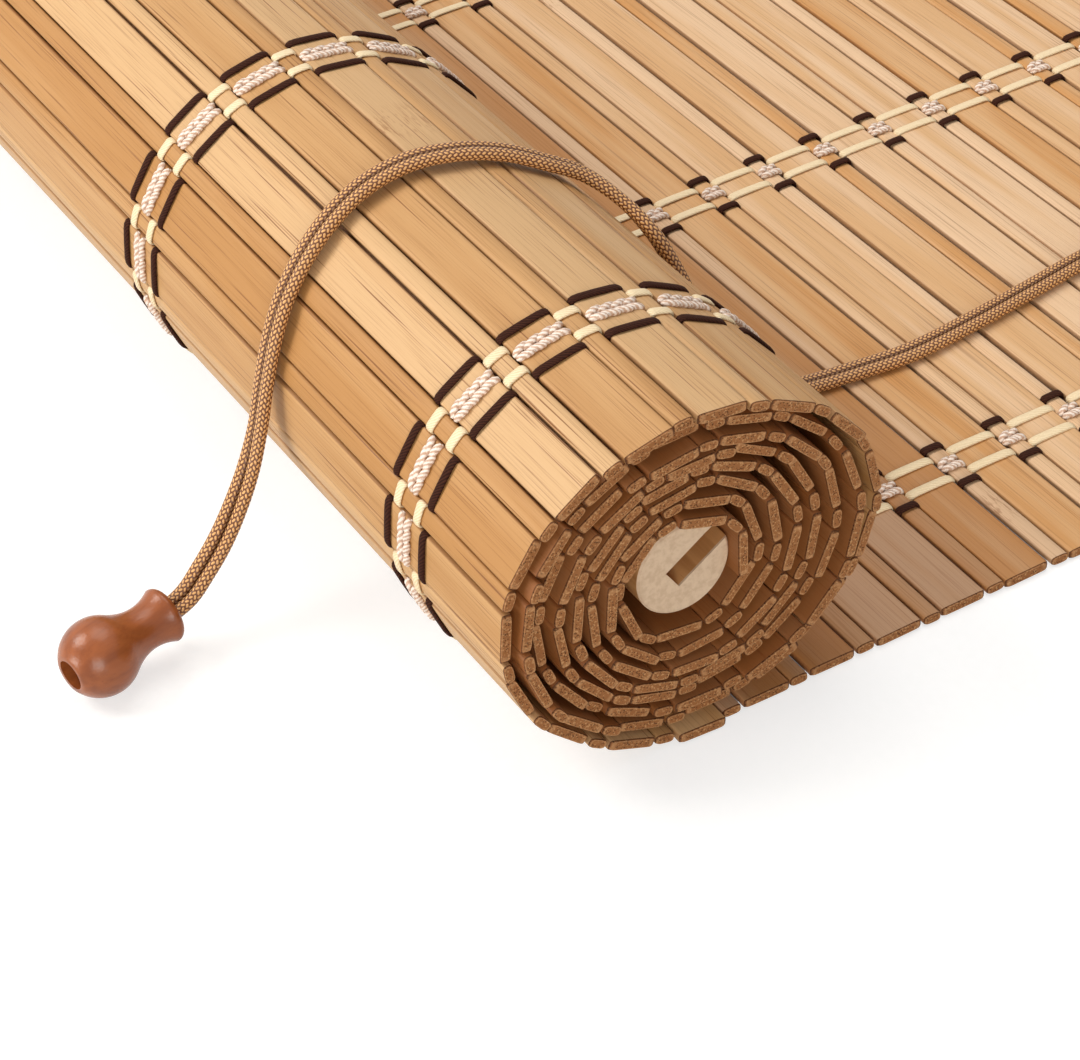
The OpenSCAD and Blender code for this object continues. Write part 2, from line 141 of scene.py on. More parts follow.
class Shader:
    """Builder of one material's node tree around a principled surface."""

    def __init__(self, name: str) -> None:
        """Makes an empty material with a principled surface.

        Args:
            name: Name of the material.
        """
        self.material = bpy.data.materials.new(name)
        self.material.use_nodes = True
        self.tree = self.material.node_tree
        self.tree.nodes.clear()
        self.surface = self.tree.nodes.new("ShaderNodeBsdfPrincipled")
        output = self.tree.nodes.new("ShaderNodeOutputMaterial")
        self.join(self.surface.outputs["BSDF"], output.inputs["Surface"])

    def join(self, source: bpy.types.NodeSocket, target: bpy.types.NodeSocket) -> None:
        """Links an output socket to an input socket."""
        self.tree.links.new(source, target)

    def feed(self, target: bpy.types.NodeSocket, value: object) -> None:
        """Links a socket to a target, or sets a constant on it.

        Args:
            target: Input socket.
            value: Output socket, number or colour.
        """
        if isinstance(value, bpy.types.NodeSocket):
            self.join(value, target)
        else:
            target.default_value = value

    def attribute(self, name: str, vector: bool = False) -> bpy.types.NodeSocket:
        """Reads a mesh attribute.

        Args:
            name: Name of the attribute.
            vector: True for a vector, false for a number.

        Returns:
            The attribute's socket.
        """
        node = self.tree.nodes.new("ShaderNodeAttribute")
        node.attribute_name = name
        return node.outputs["Vector" if vector else "Fac"]

    def place(self) -> bpy.types.NodeSocket:
        """Gives the socket of the object's own coordinates."""
        return self.tree.nodes.new("ShaderNodeTexCoord").outputs["Object"]

    def scaled(self, vector: bpy.types.NodeSocket, stretch: Triple) -> bpy.types.NodeSocket:
        """Turns coordinates in metres into counts of cells.

        Args:
            vector: Coordinates in metres.
            stretch: Cells per metre on each axis.

        Returns:
            Socket with the counts.
        """
        mapping = self.tree.nodes.new("ShaderNodeMapping")
        mapping.inputs["Scale"].default_value = stretch
        self.join(vector, mapping.inputs["Vector"])
        return mapping.outputs["Vector"]

    def noise(
        self,
        vector: bpy.types.NodeSocket,
        stretch: Triple,
        detail: float = 2.0,
        roughness: float = 0.5,
    ) -> bpy.types.NodeSocket:
        """Makes a noise whose cells have their own size on each axis.

        Args:
            vector: Coordinates in metres.
            stretch: Cells per metre on each axis.
            detail: Number of finer layers.
            roughness: Weight of the finer layers.

        Returns:
            Socket with the noise, mostly from 0.3 to 0.7.
        """
        node = self.tree.nodes.new("ShaderNodeTexNoise")
        node.inputs["Scale"].default_value = 1.0
        node.inputs["Detail"].default_value = detail
        node.inputs["Roughness"].default_value = roughness
        self.join(self.scaled(vector, stretch), node.inputs["Vector"])
        return node.outputs["Fac"]

    def cells(self, vector: bpy.types.NodeSocket, stretch: Triple) -> bpy.types.NodeSocket:
        """Makes a field of cells and gives the distance to each cell's centre.

        Args:
            vector: Coordinates in metres.
            stretch: Cells per metre on each axis.

        Returns:
            Socket with the distance, 0 at a centre.
        """
        node = self.tree.nodes.new("ShaderNodeTexVoronoi")
        node.inputs["Scale"].default_value = 1.0
        self.join(self.scaled(vector, stretch), node.inputs["Vector"])
        return node.outputs["Distance"]

    def math(self, operation: str, first: object, second: object = 0.0) -> bpy.types.NodeSocket:
        """Does one sum on two numbers.

        Args:
            operation: Name of the sum.
            first: Socket or number.
            second: Socket or number.

        Returns:
            Socket with the result.
        """
        node = self.tree.nodes.new("ShaderNodeMath")
        node.operation = operation
        self.feed(node.inputs[0], first)
        self.feed(node.inputs[1], second)
        return node.outputs[0]

    def remap(
        self, value: object, low: float, high: float, to_low: float, to_high: float
    ) -> bpy.types.NodeSocket:
        """Maps a range smoothly onto another, held at its ends.

        Args:
            value: Socket with the number.
            low: Start of the range.
            high: End of the range.
            to_low: Result at the start.
            to_high: Result at the end.

        Returns:
            Socket with the mapped number.
        """
        node = self.tree.nodes.new("ShaderNodeMapRange")
        node.interpolation_type = "SMOOTHSTEP"
        self.feed(node.inputs["Value"], value)
        ends = {"From Min": low, "From Max": high, "To Min": to_low, "To Max": to_high}
        for name, number in ends.items():
            node.inputs[name].default_value = number
        return node.outputs["Result"]

    def mix(
        self, factor: object, first: object, second: object, blend: str = "MIX"
    ) -> bpy.types.NodeSocket:
        """Mixes two colours.

        Args:
            factor: Socket or number, 0 for the first colour.
            first: Socket or colour.
            second: Socket or colour.
            blend: Kind of mix.

        Returns:
            Socket with the colour.
        """
        node = self.tree.nodes.new("ShaderNodeMix")
        node.data_type = "RGBA"
        node.blend_type = blend
        self.feed(node.inputs[0], factor)
        self.feed(node.inputs[6], first)
        self.feed(node.inputs[7], second)
        return node.outputs[2]

    def finish(
        self,
        colour: object,
        roughness: object = 0.5,
        height: bpy.types.NodeSocket | None = None,
        depth: float = 0.0002,
        strength: float = 0.4,
        metallic: float = 0.0,
        specular: float = 0.4,
    ) -> bpy.types.Material:
        """Sets the surface and gives the material.

        Args:
            colour: Socket or colour.
            roughness: Socket or number.
            height: Socket of a relief, or nothing.
            depth: Depth of the relief in metres.
            strength: Strength of the relief.
            metallic: 1 for bare metal.
            specular: Level of the mirror reflection.

        Returns:
            The material.
        """
        self.feed(self.surface.inputs["Base Color"], colour)
        self.feed(self.surface.inputs["Roughness"], roughness)
        self.surface.inputs["Metallic"].default_value = metallic
        self.surface.inputs["Specular IOR Level"].default_value = specular
        if height is not None:
            bump = self.tree.nodes.new("ShaderNodeBump")
            bump.inputs["Strength"].default_value = strength
            bump.inputs["Distance"].default_value = depth
            self.join(height, bump.inputs["Height"])
            self.join(bump.outputs["Normal"], self.surface.inputs["Normal"])
        return self.material


@dataclass(frozen=True)
class BambooFace:
    """Split bamboo along the fibres: a tone for each slat, fine streaks and speckled nodes."""

    name: str
    pale: Colour
    middle: Colour
    warm: Colour
    lines: float
    streak: Colour = (126, 76, 36)
    speck: Colour = (150, 98, 52)
    # Painted shade colour for the sides of each slat, standing in for the shade of the gaps between slats.
    painted_edge_shade: Colour = (128, 80, 42)
    # Painted shade colour for slats that lie in shade: the roll's inner turns and the flat slats beside the
    # roll.
    inner: Colour = (138, 78, 34)
    cloud_cells: Triple = (11, 190, 190)
    fibre_cells: Triple = (46, 5200, 5200)
    line_cells: Triple = (26, 2600, 2600)
    dash_cells: Triple = (330, 2100, 2100)
    node_core: float = 1.0 * MM
    node_reach: float = 7.0 * MM

    def build(self) -> bpy.types.Material:
        """Makes the finish from the slats' attributes.

        Returns:
            The material.
        """
        s = Shader(self.name)
        grain, tone = s.attribute("grain", True), s.attribute("tone")
        cloud = s.noise(grain, self.cloud_cells, 2.0)
        shade = s.math("ADD", tone, s.remap(cloud, 0.3, 0.7, -0.25, 0.25))
        colour = s.mix(s.remap(shade, 0.0, 0.5, 0, 1), linear(*self.pale), linear(*self.middle))
        colour = s.mix(s.remap(shade, 0.5, 1.0, 0, 1), colour, linear(*self.warm))
        fibre = s.noise(grain, self.fibre_cells, 3.0, 0.6)
        line = s.noise(grain, self.line_cells, 2.0, 0.5)
        colour = s.mix(s.remap(fibre, 0.5, 0.78, 0, 0.5), colour, linear(*self.streak))
        colour = s.mix(s.remap(line, 0.6, 0.73, 0, self.lines), colour, linear(*self.streak))
        from_node = s.math("ABSOLUTE", s.attribute("joint"))
        near = s.remap(from_node, self.node_core, self.node_reach, 1, 0)
        dashes = s.remap(s.noise(grain, self.dash_cells, 2.0, 0.6), 0.52, 0.64, 0, 0.55)
        colour = s.mix(s.math("MULTIPLY", near, dashes), colour, linear(*self.speck))
        # Painted shade: each slat darkens near the sides of its section, where the gaps between slats fall
        # into shade.
        colour = s.mix(s.remap(s.attribute("painted_edge_shade"), 0.93, 1.0, 0, 0.6), colour, linear(*self.painted_edge_shade))
        # Painted shade: the inner attribute darkens the roll's inner turns and the flat slats beside the
        # roll.
        colour = s.mix(s.attribute("inner"), colour, linear(*self.inner))
        rough = s.remap(fibre, 0.3, 0.7, 0.46, 0.6)
        return s.finish(colour, rough, fibre, 0.2 * MM, 0.3, specular=0.35)


@dataclass(frozen=True)
class BambooEnd:
    """Sawn end of bamboo: brown, with dark fibre dots and pale flecks; a lighter band near the rim is
    painted highlight and a dark outline at the rim is painted shade.
    """

    ground: Colour = (156, 102, 60)
    dot: Colour = (72, 40, 20)
    fleck: Colour = (208, 158, 108)
    # Painted highlight colour for the band near each end's rim.
    rim: Colour = (210, 160, 112)
    # Painted shade colour for the outline where the slat ends meet the gaps.
    outline: Colour = (74, 42, 24)
    dot_cells: Triple = (900, 2300, 2900)
    cloud_cells: Triple = (500, 2600, 2600)

    def build(self) -> bpy.types.Material:
        """Makes the finish from the slats' attributes.

        Returns:
            The material.
        """
        s = Shader("bamboo_end")
        grain = s.attribute("grain", True)
        dots = s.cells(grain, self.dot_cells)
        cloud = s.noise(grain, self.cloud_cells, 2.0)
        flecked = s.remap(cloud, 0.52, 0.68, 0, 0.75)
        colour = s.mix(flecked, linear(*self.ground), linear(*self.fleck))
        colour = s.mix(s.remap(dots, 0.16, 0.36, 0.85, 0), colour, linear(*self.dot))
        rim = s.attribute("rim")
        # Painted highlight: a lighter band just within each end's rim, where its rounding catches light.
        band = s.math("MULTIPLY", s.remap(rim, 0.68, 0.82, 0, 0.4), s.remap(rim, 0.88, 0.94, 1, 0))
        colour = s.mix(band, colour, linear(*self.rim))
        # Painted shade: a dark outline on the outermost ring, standing in for the shade in the gaps between
        # slat ends.
        colour = s.mix(s.remap(rim, 0.9, 0.98, 0, 0.85), colour, linear(*self.outline))
        return s.finish(colour, 0.75, s.remap(dots, 0.1, 0.4, 0, 1), 0.3 * MM, 0.6, specular=0.2)


@dataclass(frozen=True)
class Yarn:
    """Twisted yarn: slanting plies with fine fibres, the colour painted darker between the plies as painted
    shade in the grooves.
    """

    name: str
    light: Colour
    # Painted shade colour for the grooves between the plies.
    dark: Colour
    ply: float = 0.55 * MM
    relief: float = 0.25 * MM
    roughness: float = 0.7
    specular: float = 0.3
    fuzz_cells: Triple = (3600, 3600, 3600)

    def build(self) -> bpy.types.Material:
        """Makes the finish from the yarn's own coordinates.

        Returns:
            The material.
        """
        s = Shader(self.name)
        wave = s.math("SINE", s.math("MULTIPLY", s.attribute("lay"), math.tau / self.ply))
        fuzz = s.noise(s.place(), self.fuzz_cells, 2.0)
        height = s.math("ADD", s.remap(wave, -1, 1, 0, 0.6), fuzz)
        # Painted shade: the colour darkens where the relief is low, in the grooves between the plies.
        colour = s.mix(s.remap(height, 0.4, 1.2, 0, 1), linear(*self.dark), linear(*self.light))
        return s.finish(colour, self.roughness, height, self.relief, 0.6, specular=self.specular)


@dataclass(frozen=True)
class CordFinish:
    """Braided cord: one yarn lies on top in each diamond of the braid, slanting either way in turn; each
    crown is painted light as painted highlight and the ground between is painted dark as painted shade.
    """

    # Painted highlight colour on each yarn's crown, and painted shade colour between the crowns.
    light: Colour = (232, 176, 112)
    dark: Colour = (104, 56, 24)
    cell_w: float = 1.15
    cell_l: float = 0.95
    yarn_w: float = 0.27
    yarn_l: float = 0.46
    slant: float = 0.4
    painted_crease_shade: Colour = (84, 44, 22)
    fuzz_cells: Triple = (5200, 5200, 5200)

    def build(self) -> bpy.types.Material:
        """Makes the finish from the braid's cells, which the cord's own map counts around and along it.

        Returns:
            The material.
        """
        s = Shader("braided_cord")
        split = s.tree.nodes.new("ShaderNodeSeparateXYZ")
        s.join(s.attribute("braid", True), split.inputs["Vector"])
        one = s.math("ADD", split.outputs["X"], split.outputs["Y"])
        other = s.math("SUBTRACT", split.outputs["X"], split.outputs["Y"])
        in_one, in_other = s.math("FRACT", one), s.math("FRACT", other)
        crossing = s.math("ADD", s.math("FLOOR", one), s.math("FLOOR", other))
        hand = s.math("SUBTRACT", s.math("MULTIPLY", s.math("FLOORED_MODULO", crossing, 2.0), 2.0), 1.0)
        along = s.math("MULTIPLY", s.math("SUBTRACT", in_one, in_other), self.cell_l / 2)
        across = s.math("SUBTRACT", s.math("ADD", in_one, in_other), 1.0)
        across = s.math("MULTIPLY", across, self.cell_w / 2)
        across = s.math("SUBTRACT", across, s.math("MULTIPLY", s.math("MULTIPLY", hand, along), self.slant))
        reach = s.math(
            "ADD",
            s.math("POWER", s.math("ABSOLUTE", s.math("DIVIDE", across, self.yarn_w)), 2.0),
            s.math("POWER", s.math("ABSOLUTE", s.math("DIVIDE", along, self.yarn_l)), 2.0),
        )
        crown = s.remap(reach, 0.15, 1.15, 1, 0)
        fuzz = s.noise(s.place(), self.fuzz_cells, 2.0)
        shade = s.math("ADD", crown, s.remap(fuzz, 0.3, 0.7, -0.12, 0.12))
        # Painted highlight and shade: the colour runs from dark between the yarns to light on each crown.
        colour = s.mix(s.remap(shade, 0.0, 1.0, 0, 1), linear(*self.dark), linear(*self.light))
        # Painted shade in the crease where the two strands touch.
        colour = s.mix(s.remap(s.attribute("crease"), 0.4, 0.95, 0, 0.75), colour, linear(*self.painted_crease_shade))
        return s.finish(colour, 0.42, crown, 0.2 * MM, 0.6, specular=0.5)


@dataclass(frozen=True)
class Wood:
    """Turned or planed wood with growth lines and pores along one axis of its grain."""

    name: str
    light: Colour
    dark: Colour
    stretch: Triple
    own_grain: bool = True
    roughness: float = 0.45
    pore_finer: float = 7.0

    def build(self) -> bpy.types.Material:
        """Makes the finish from the piece's grain attribute or its place.

        Returns:
            The material.
        """
        s = Shader(self.name)
        grain = s.attribute("grain", True) if self.own_grain else s.place()
        figure = s.noise(grain, self.stretch, 3.0, 0.55)
        pore = s.noise(grain, tuple(self.pore_finer * x for x in self.stretch), 2.0, 0.6)
        colour = s.mix(s.remap(figure, 0.35, 0.68, 0, 1), linear(*self.light), linear(*self.dark))
        colour = s.mix(s.remap(pore, 0.6, 0.74, 0, 0.6), colour, linear(*self.dark))
        return s.finish(colour, self.roughness, pore, 0.12 * MM, 0.3)


@dataclass(frozen=True)
class Metal:
    """Plated metal with fine rolled streaks and small dull spots."""

    name: str
    light: Colour
    dark: Colour
    roughness: float = 0.32
    streak_cells: Triple = (120, 120, 2600)
    spot_cells: Triple = (420, 420, 420)

    def build(self) -> bpy.types.Material:
        """Makes the finish from the piece's place.

        Returns:
            The material.
        """
        s = Shader(self.name)
        streak = s.noise(s.place(), self.streak_cells, 3.0)
        spot = s.noise(s.place(), self.spot_cells, 3.0, 0.6)
        colour = s.mix(s.remap(spot, 0.4, 0.7, 0, 1), linear(*self.light), linear(*self.dark))
        rough = s.remap(spot, 0.3, 0.7, self.roughness - 0.03, self.roughness + 0.05)
        return s.finish(colour, rough, streak, 0.03 * MM, 0.25, metallic=1.0)


@dataclass
class TubeBatch:
    """Many closed tubes in one mesh: each is a grid of rings by sides with a flat cap at both ends."""

    name: str
    points: np.ndarray
    numbers: dict[str, np.ndarray] = field(default_factory=dict)
    vectors: dict[str, np.ndarray] = field(default_factory=dict)
    end_rings: int = 0
    braid: tuple[float, float] | None = None

    def corners(self) -> tuple[np.ndarray, np.ndarray, np.ndarray]:
        """Lists the corners of the faces: four for each grid cell, then one polygon for each cap.

        Returns:
            Corner indices, the start of each face in them, and each face's material index.
        """
        count, rings, sides, _ = self.points.shape
        index = np.arange(count * rings * sides).reshape(count, rings, sides)
        turned = np.roll(index, -1, axis=2)
        quads = np.stack([index[:, :-1], turned[:, :-1], turned[:, 1:], index[:, 1:]], axis=-1)
        caps = np.concatenate([index[:, 0, ::-1], index[:, -1]])
        at_end = np.zeros(rings - 1, int)
        if self.end_rings:
            at_end[: self.end_rings] = 1
            at_end[-self.end_rings :] = 1
        quad_kind = np.broadcast_to(at_end[None, :, None], quads.shape[:3]).ravel()
        cap_kind = np.full(len(caps), 1 if self.end_rings else 0)
        cap_starts = quads.size + np.arange(len(caps)) * sides
        starts = np.concatenate([np.arange(len(quad_kind)) * 4, cap_starts])
        if self.inside_out():
            quads, caps = quads[..., ::-1], caps[:, ::-1]
        corner = np.concatenate([quads.ravel(), caps.ravel()])
        return corner, starts, np.concatenate([quad_kind, cap_kind])

    def braid_map(self) -> np.ndarray:
        """Counts braid cells at every corner: around the tube without a jump at its seam, and along it.

        Returns:
            Pairs of counts, in the order of the corners.
        """
        count, rings, sides, _ = self.points.shape
        around, along = self.braid
        ring, side = np.meshgrid(np.arange(rings - 1), np.arange(sides), indexing="ij")
        at_side = np.stack([side, side + 1, side + 1, side], axis=-1) * around / sides
        at_ring = np.stack([ring, ring, ring + 1, ring + 1], axis=-1) * along
        cells = np.broadcast_to(np.stack([at_side, at_ring], axis=-1), (count, rings - 1, sides, 4, 2))
        if self.inside_out():
            cells = cells[:, :, :, ::-1]
        return np.concatenate([cells.reshape(-1, 2), np.zeros((2 * count * sides, 2))])

    def inside_out(self) -> bool:
        """Tells from the first tube's signed volume whether its faces point inward.

        Returns:
            True if the faces have to be turned.
        """
        tube = self.points[0] - self.points[0].mean(axis=(0, 1))
        a, b = tube[:-1], np.roll(tube[:-1], -1, axis=1)
        c, d = np.roll(tube[1:], -1, axis=1), tube[1:]
        volume = (np.cross(a, b) * c).sum() + (np.cross(a, c) * d).sum()
        return bool(volume < 0)

    def build(self, *materials: bpy.types.Material) -> bpy.types.Object:
        """Makes the object, with its attributes and materials.

        Args:
            materials: Materials by index, the second one for the ends.

        Returns:
            The linked object.
        """
        corner, starts, kinds = self.corners()
        mesh = bpy.data.meshes.new(self.name)
        flat = np.ascontiguousarray(self.points.reshape(-1, 3), np.float32)
        mesh.vertices.add(len(flat))
        mesh.vertices.foreach_set("co", flat.ravel())
        mesh.loops.add(len(corner))
        mesh.loops.foreach_set("vertex_index", corner.astype(np.int32))
        mesh.polygons.add(len(starts))
        mesh.polygons.foreach_set("loop_start", starts.astype(np.int32))
        mesh.polygons.foreach_set("material_index", kinds.astype(np.int32))
        mesh.polygons.foreach_set("use_smooth", kinds == 0)
        shape = self.points.shape[:3]
        for name, values in self.numbers.items():
            layer = mesh.attributes.new(name, "FLOAT", "POINT")
            spread = np.broadcast_to(values, shape).astype(np.float32)
            layer.data.foreach_set("value", spread.ravel())
        for name, values in self.vectors.items():
            layer = mesh.attributes.new(name, "FLOAT_VECTOR", "POINT")
            spread = np.broadcast_to(values, (*shape, 3)).astype(np.float32)
            layer.data.foreach_set("vector", spread.ravel())
        if self.braid is not None:
            layer = mesh.uv_layers.new(name="braid")
            layer.data.foreach_set("uv", self.braid_map().astype(np.float32).ravel())
        mesh.update(calc_edges=True)
        mesh.validate()
        for material in materials:
            mesh.materials.append(material)
        piece = bpy.data.objects.new(self.name, mesh)
        bpy.context.scene.collection.objects.link(piece)
        LOG.info("%s: %d faces", self.name, len(starts))
        return piece


@dataclass(frozen=True)
class MatSizes:
    """Driving sizes of the woven mat and its roll, in metres and turns."""

    width: float = 600 * MM
    slat_w: float = 8.3 * MM
    stick_w: float = 3.2 * MM
    slat_t: float = 1.6 * MM
    gap: float = 0.5 * MM
    flat_slats: int = 17
    rod_d: float = 16 * MM
    rod_off: tuple[float, float] = (0.2 * MM, 0.5 * MM)
    roll_play: float = 1.3 * MM
    turns: float = 7.7
    lay_below: float = 2.64 * MM
    lay_above: float = 2.4 * MM
    lay_left: float = 2.72 * MM
    lay_right: float = 3.45 * MM
    roll_start: float = -4.0
    bands: int = 7
    band_inset: float = 29 * MM
    brown_offset: float = 5.2 * MM
    cream_offset: float = 2.9 * MM

    @property
    def pitch(self) -> float:
        """Length of one broad slat, one stick and their gaps along the mat."""
        return self.slat_w + self.stick_w + 2 * self.gap

    @property
    def core(self) -> float:
        """Radius of the innermost layer's middle."""
        return self.rod_d / 2 + self.roll_play + self.slat_t / 2

    @property
    def band_places(self) -> np.ndarray:
        """Places of the thread bands across the mat."""
        reach = self.width / 2 - self.band_inset
        return np.linspace(-reach, reach, self.bands)

    def beside_bands(self, offset: float) -> np.ndarray:
        """Places of the two threads at an offset from the middle of each band."""
        return np.concatenate([self.band_places - offset, self.band_places + offset])


@dataclass
class Elements:
    """Slats and sticks of one stretch of the mat, each with its middle and directions in the x-z plane."""

    centre: np.ndarray
    along: np.ndarray
    out: np.ndarray
    width: np.ndarray
    broad: np.ndarray

    def rows(self) -> tuple[np.ndarray, ...]:
        """Gives the fields in order."""
        return self.centre, self.along, self.out, self.width, self.broad

    def chosen(self, mask: np.ndarray) -> Elements:
        """Picks the elements whose place in the mask is true."""
        return Elements(*[row[mask] for row in self.rows()])

    def joined(self, other: Elements) -> Elements:
        """Puts another stretch after this one."""
        return Elements(*[np.concatenate(pair) for pair in zip(self.rows(), other.rows())])

    def placed(self, across: np.ndarray, over: np.ndarray) -> tuple[np.ndarray, np.ndarray]:
        """Puts points of each element's own section into the x-z plane: its middle plus both directions.

        Args:
            across: Places along each element's width, by element, ring and side.
            over: Heights over its middle, likewise.

        Returns:
            The x and z places.
        """
        centre, along, out = (row[:, None, None, :] for row in (self.centre, self.along, self.out))
        flat = centre + along * across[..., None] + out * over[..., None]
        return flat[..., 0], flat[..., 1]


@dataclass(frozen=True)
class OvalSpiral:
    """Middle line of the rolled mat: a spiral whose four sides have their own thickness per turn."""

    sizes: MatSizes
    rod_x: float
    rod_z: float

    def point(self, degrees: np.ndarray | float) -> np.ndarray:
        """Gives the line's place: an oval around the rod whose four reaches shrink with the turns made.

        Args:
            degrees: Angle rolled from the flat stretch inward.

        Returns:
            Places in the x-z plane.
        """
        s = self.sizes
        angle = np.asarray(degrees, float)
        left_to_go = s.turns - angle / 360
        left, right = s.core + s.lay_left * left_to_go, s.core + s.lay_right * left_to_go
        above, below = s.core + s.lay_above * left_to_go, s.core + s.lay_below * left_to_go
        turn = np.radians(angle)
        x = self.rod_x + (right - left) / 2 - (right + left) / 2 * np.sin(turn)
        z = self.rod_z + (above - below) / 2 - (above + below) / 2 * np.cos(turn)
        return np.stack([x, z], axis=-1)

    def degrees_for(self, length: float, degrees: float) -> float:
        """Gives the degrees that a length of the line takes where its middle is at an angle."""
        return length / float(np.linalg.norm(self.point(degrees + 0.5) - self.point(degrees - 0.5)))

    def spans(self) -> tuple[np.ndarray, np.ndarray]:
        """Lays slats and sticks in turn along the line, from the flat stretch to the rod.

        Returns:
            Start and end angle of each element, and its nominal width.
        """
        s = self.sizes
        rows, widths, start = [], [], s.roll_start
        while start <= 360 * s.turns:
            wide = s.slat_w if len(rows) % 2 == 0 else s.stick_w
            middle = start + self.degrees_for(wide, start) / 2
            end = start + self.degrees_for(wide, middle)
            rows.append((start, end))
            widths.append(wide)
            start = end + self.degrees_for(s.gap, end)
        return np.array(rows), np.array(widths)

    def elements(self) -> Elements:
        """Gives each rolled element as a chord of the line.

        Returns:
            The elements, the outer end first.
        """
        spans, widths = self.spans()
        first, last = self.point(spans[:, 0]), self.point(spans[:, 1])
        along = unit(last - first)
        out = np.stack([-along[:, 1], along[:, 0]], axis=-1)
        return Elements((first + last) / 2, along, out, widths, np.arange(len(widths)) % 2 == 0)


@dataclass(frozen=True)
class FlatStretch:
    """Flat end of the mat, on the floor between the roll and the rail."""

    sizes: MatSizes
    start_x: float

    def elements(self) -> Elements:
        """Gives sticks and broad slats in turn, side by side on the floor.

        Returns:
            The elements, from the roll outward.
        """
        s = self.sizes
        stick_x = self.start_x + s.pitch * np.arange(s.flat_slats) + (s.gap + s.stick_w) / 2
        slat_x = stick_x + s.stick_w / 2 + s.gap + s.slat_w / 2
        x = np.stack([stick_x, slat_x], axis=1).ravel()
        count = len(x)
        centre = np.stack([x, np.full(count, s.slat_t / 2)], axis=-1)
        along = np.broadcast_to([1.0, 0.0], (count, 2))
        out = np.broadcast_to([0.0, 1.0], (count, 2))
        broad = np.arange(count) % 2 == 1
        return Elements(centre, along, out, np.where(broad, s.slat_w, s.stick_w), broad)


@dataclass
class SlatMat:
    """Separate bamboo slats and sticks of one stretch, each with its own tone, ends and small bends."""

    name: str
    node: str
    elements: Elements
    sizes: MatSizes
    seed: int
    end_play: float = 1.2 * MM
    end_drift: float = 0.0
    # Painted shade on each slat, from 0 for none to 1 for the full painted shade colour.
    painted_shade: np.ndarray | float = 0.0
    thickest: float = 1.04
    thin_by: float = 0.12
    swell: float = 0.1 * MM
    width_play: float = 0.1 * MM
    stray: float = 0.0
    bend: float = 0.1 * MM
    bend_waves: float = 1.5
    lean: float = 1.5
    node_spread: float = 1.2
    tone: float = 0.45
    tone_spread: float = 0.32
    drift_waves: int = 9
    broad_power: float = 8.0
    stick_power: float = 3.4
    sides: int = 20
    body_rings: int = 7
    end_round: float = 0.3 * MM
    end_shrink: tuple[float, float] = (0.5, 0.9)

    def build(self, face: bpy.types.Material, end: bpy.types.Material) -> bpy.types.Object:
        """Sweeps a superellipse section along each slat, with rounded ends and a slow sideways bend.

        Args:
            face: Finish of the long sides.
            end: Finish of the sawn ends.

        Returns:
            The riding piece.
        """
        rng = np.random.default_rng(self.seed)
        e, count = self.elements, len(self.elements.width)
        turn = np.linspace(0, math.tau, self.sides, endpoint=False)
        power = np.where(e.broad, self.broad_power, self.stick_power)[:, None]
        across, up = rounded(turn[None, :], power)
        wide = e.width + self.swell + rng.uniform(-self.width_play, self.width_play, count)
        stray = np.where(e.broad, 0.0, rng.uniform(-self.stray, self.stray, count))
        thick = self.sizes.slat_t * rng.uniform(self.thickest - self.thin_by, self.thickest, count)
        wave = np.linspace(0, self.drift_waves * math.tau, count)
        drift = self.end_drift * (0.5 - 0.5 * np.cos(wave))
        past = (self.end_play + self.end_drift) / 2
        ends = [rng.uniform(0, self.end_play, count) + drift - past for _ in range(2)]
        half = self.sizes.width / 2
        body = np.linspace(0, 1, self.body_rings)
        end_rings = len(self.end_shrink)
        shrink = np.concatenate([self.end_shrink, np.ones(self.body_rings), self.end_shrink[::-1]])
        inset = np.zeros(len(shrink))
        inset[end_rings], inset[-1 - end_rings] = self.end_round, -self.end_round
        part = np.concatenate([np.zeros(end_rings), body, np.ones(end_rings)])
        low, high = -half + ends[0], half - ends[1]
        y = low[:, None] + (high - low)[:, None] * part[None, :] + inset[None, :]
        phase = rng.uniform(0, math.tau, (count, 2))
        wave = np.sin(math.tau * self.bend_waves * part[None, :] + phase[:, :1])
        bend = self.bend * wave + stray[:, None]
        lean = np.radians(rng.uniform(-self.lean, self.lean, count))
        local_a = (wide / 2)[:, None, None] * across[:, None, :] * shrink[None, :, None] + bend[:, :, None]
        local_h = (thick / 2)[:, None, None] * up[:, None, :] * shrink[None, :, None]
        cos, sin = np.cos(lean)[:, None, None], np.sin(lean)[:, None, None]
        turned_a, turned_h = local_a * cos - local_h * sin, local_a * sin + local_h * cos
        shape = turned_a.shape
        x, z = e.placed(turned_a, turned_h)
        points = np.stack([x, np.broadcast_to(y[:, :, None], shape), np.maximum(z, 0.0)], axis=-1)
        offset = rng.uniform(0, 40, (count, 3))
        grain = np.stack([np.broadcast_to(y[:, :, None], shape), local_a, local_h], axis=-1)
        knot = half * rng.uniform(-self.node_spread, self.node_spread, count)
        tone = np.clip(rng.normal(self.tone, self.tone_spread, count), 0, 1)
        batch = TubeBatch(
            self.name,
            points,
            numbers={
                "tone": tone[:, None, None],
                "joint": y[:, :, None] - knot[:, None, None],
                # Place across each slat's section, which sets where the painted shade at its sides falls.
                "painted_edge_shade": np.abs(across)[:, None, :],
                "rim": shrink[None, :, None],
                # The inner attribute carries each slat's painted shade.
                "inner": np.broadcast_to(self.painted_shade, count)[:, None, None],
            },
            vectors={"grain": grain + offset[:, None, None, :]},
            end_rings=end_rings,
        )
        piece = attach(batch.build(face, end), ROOT)
        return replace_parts(piece, self.node)


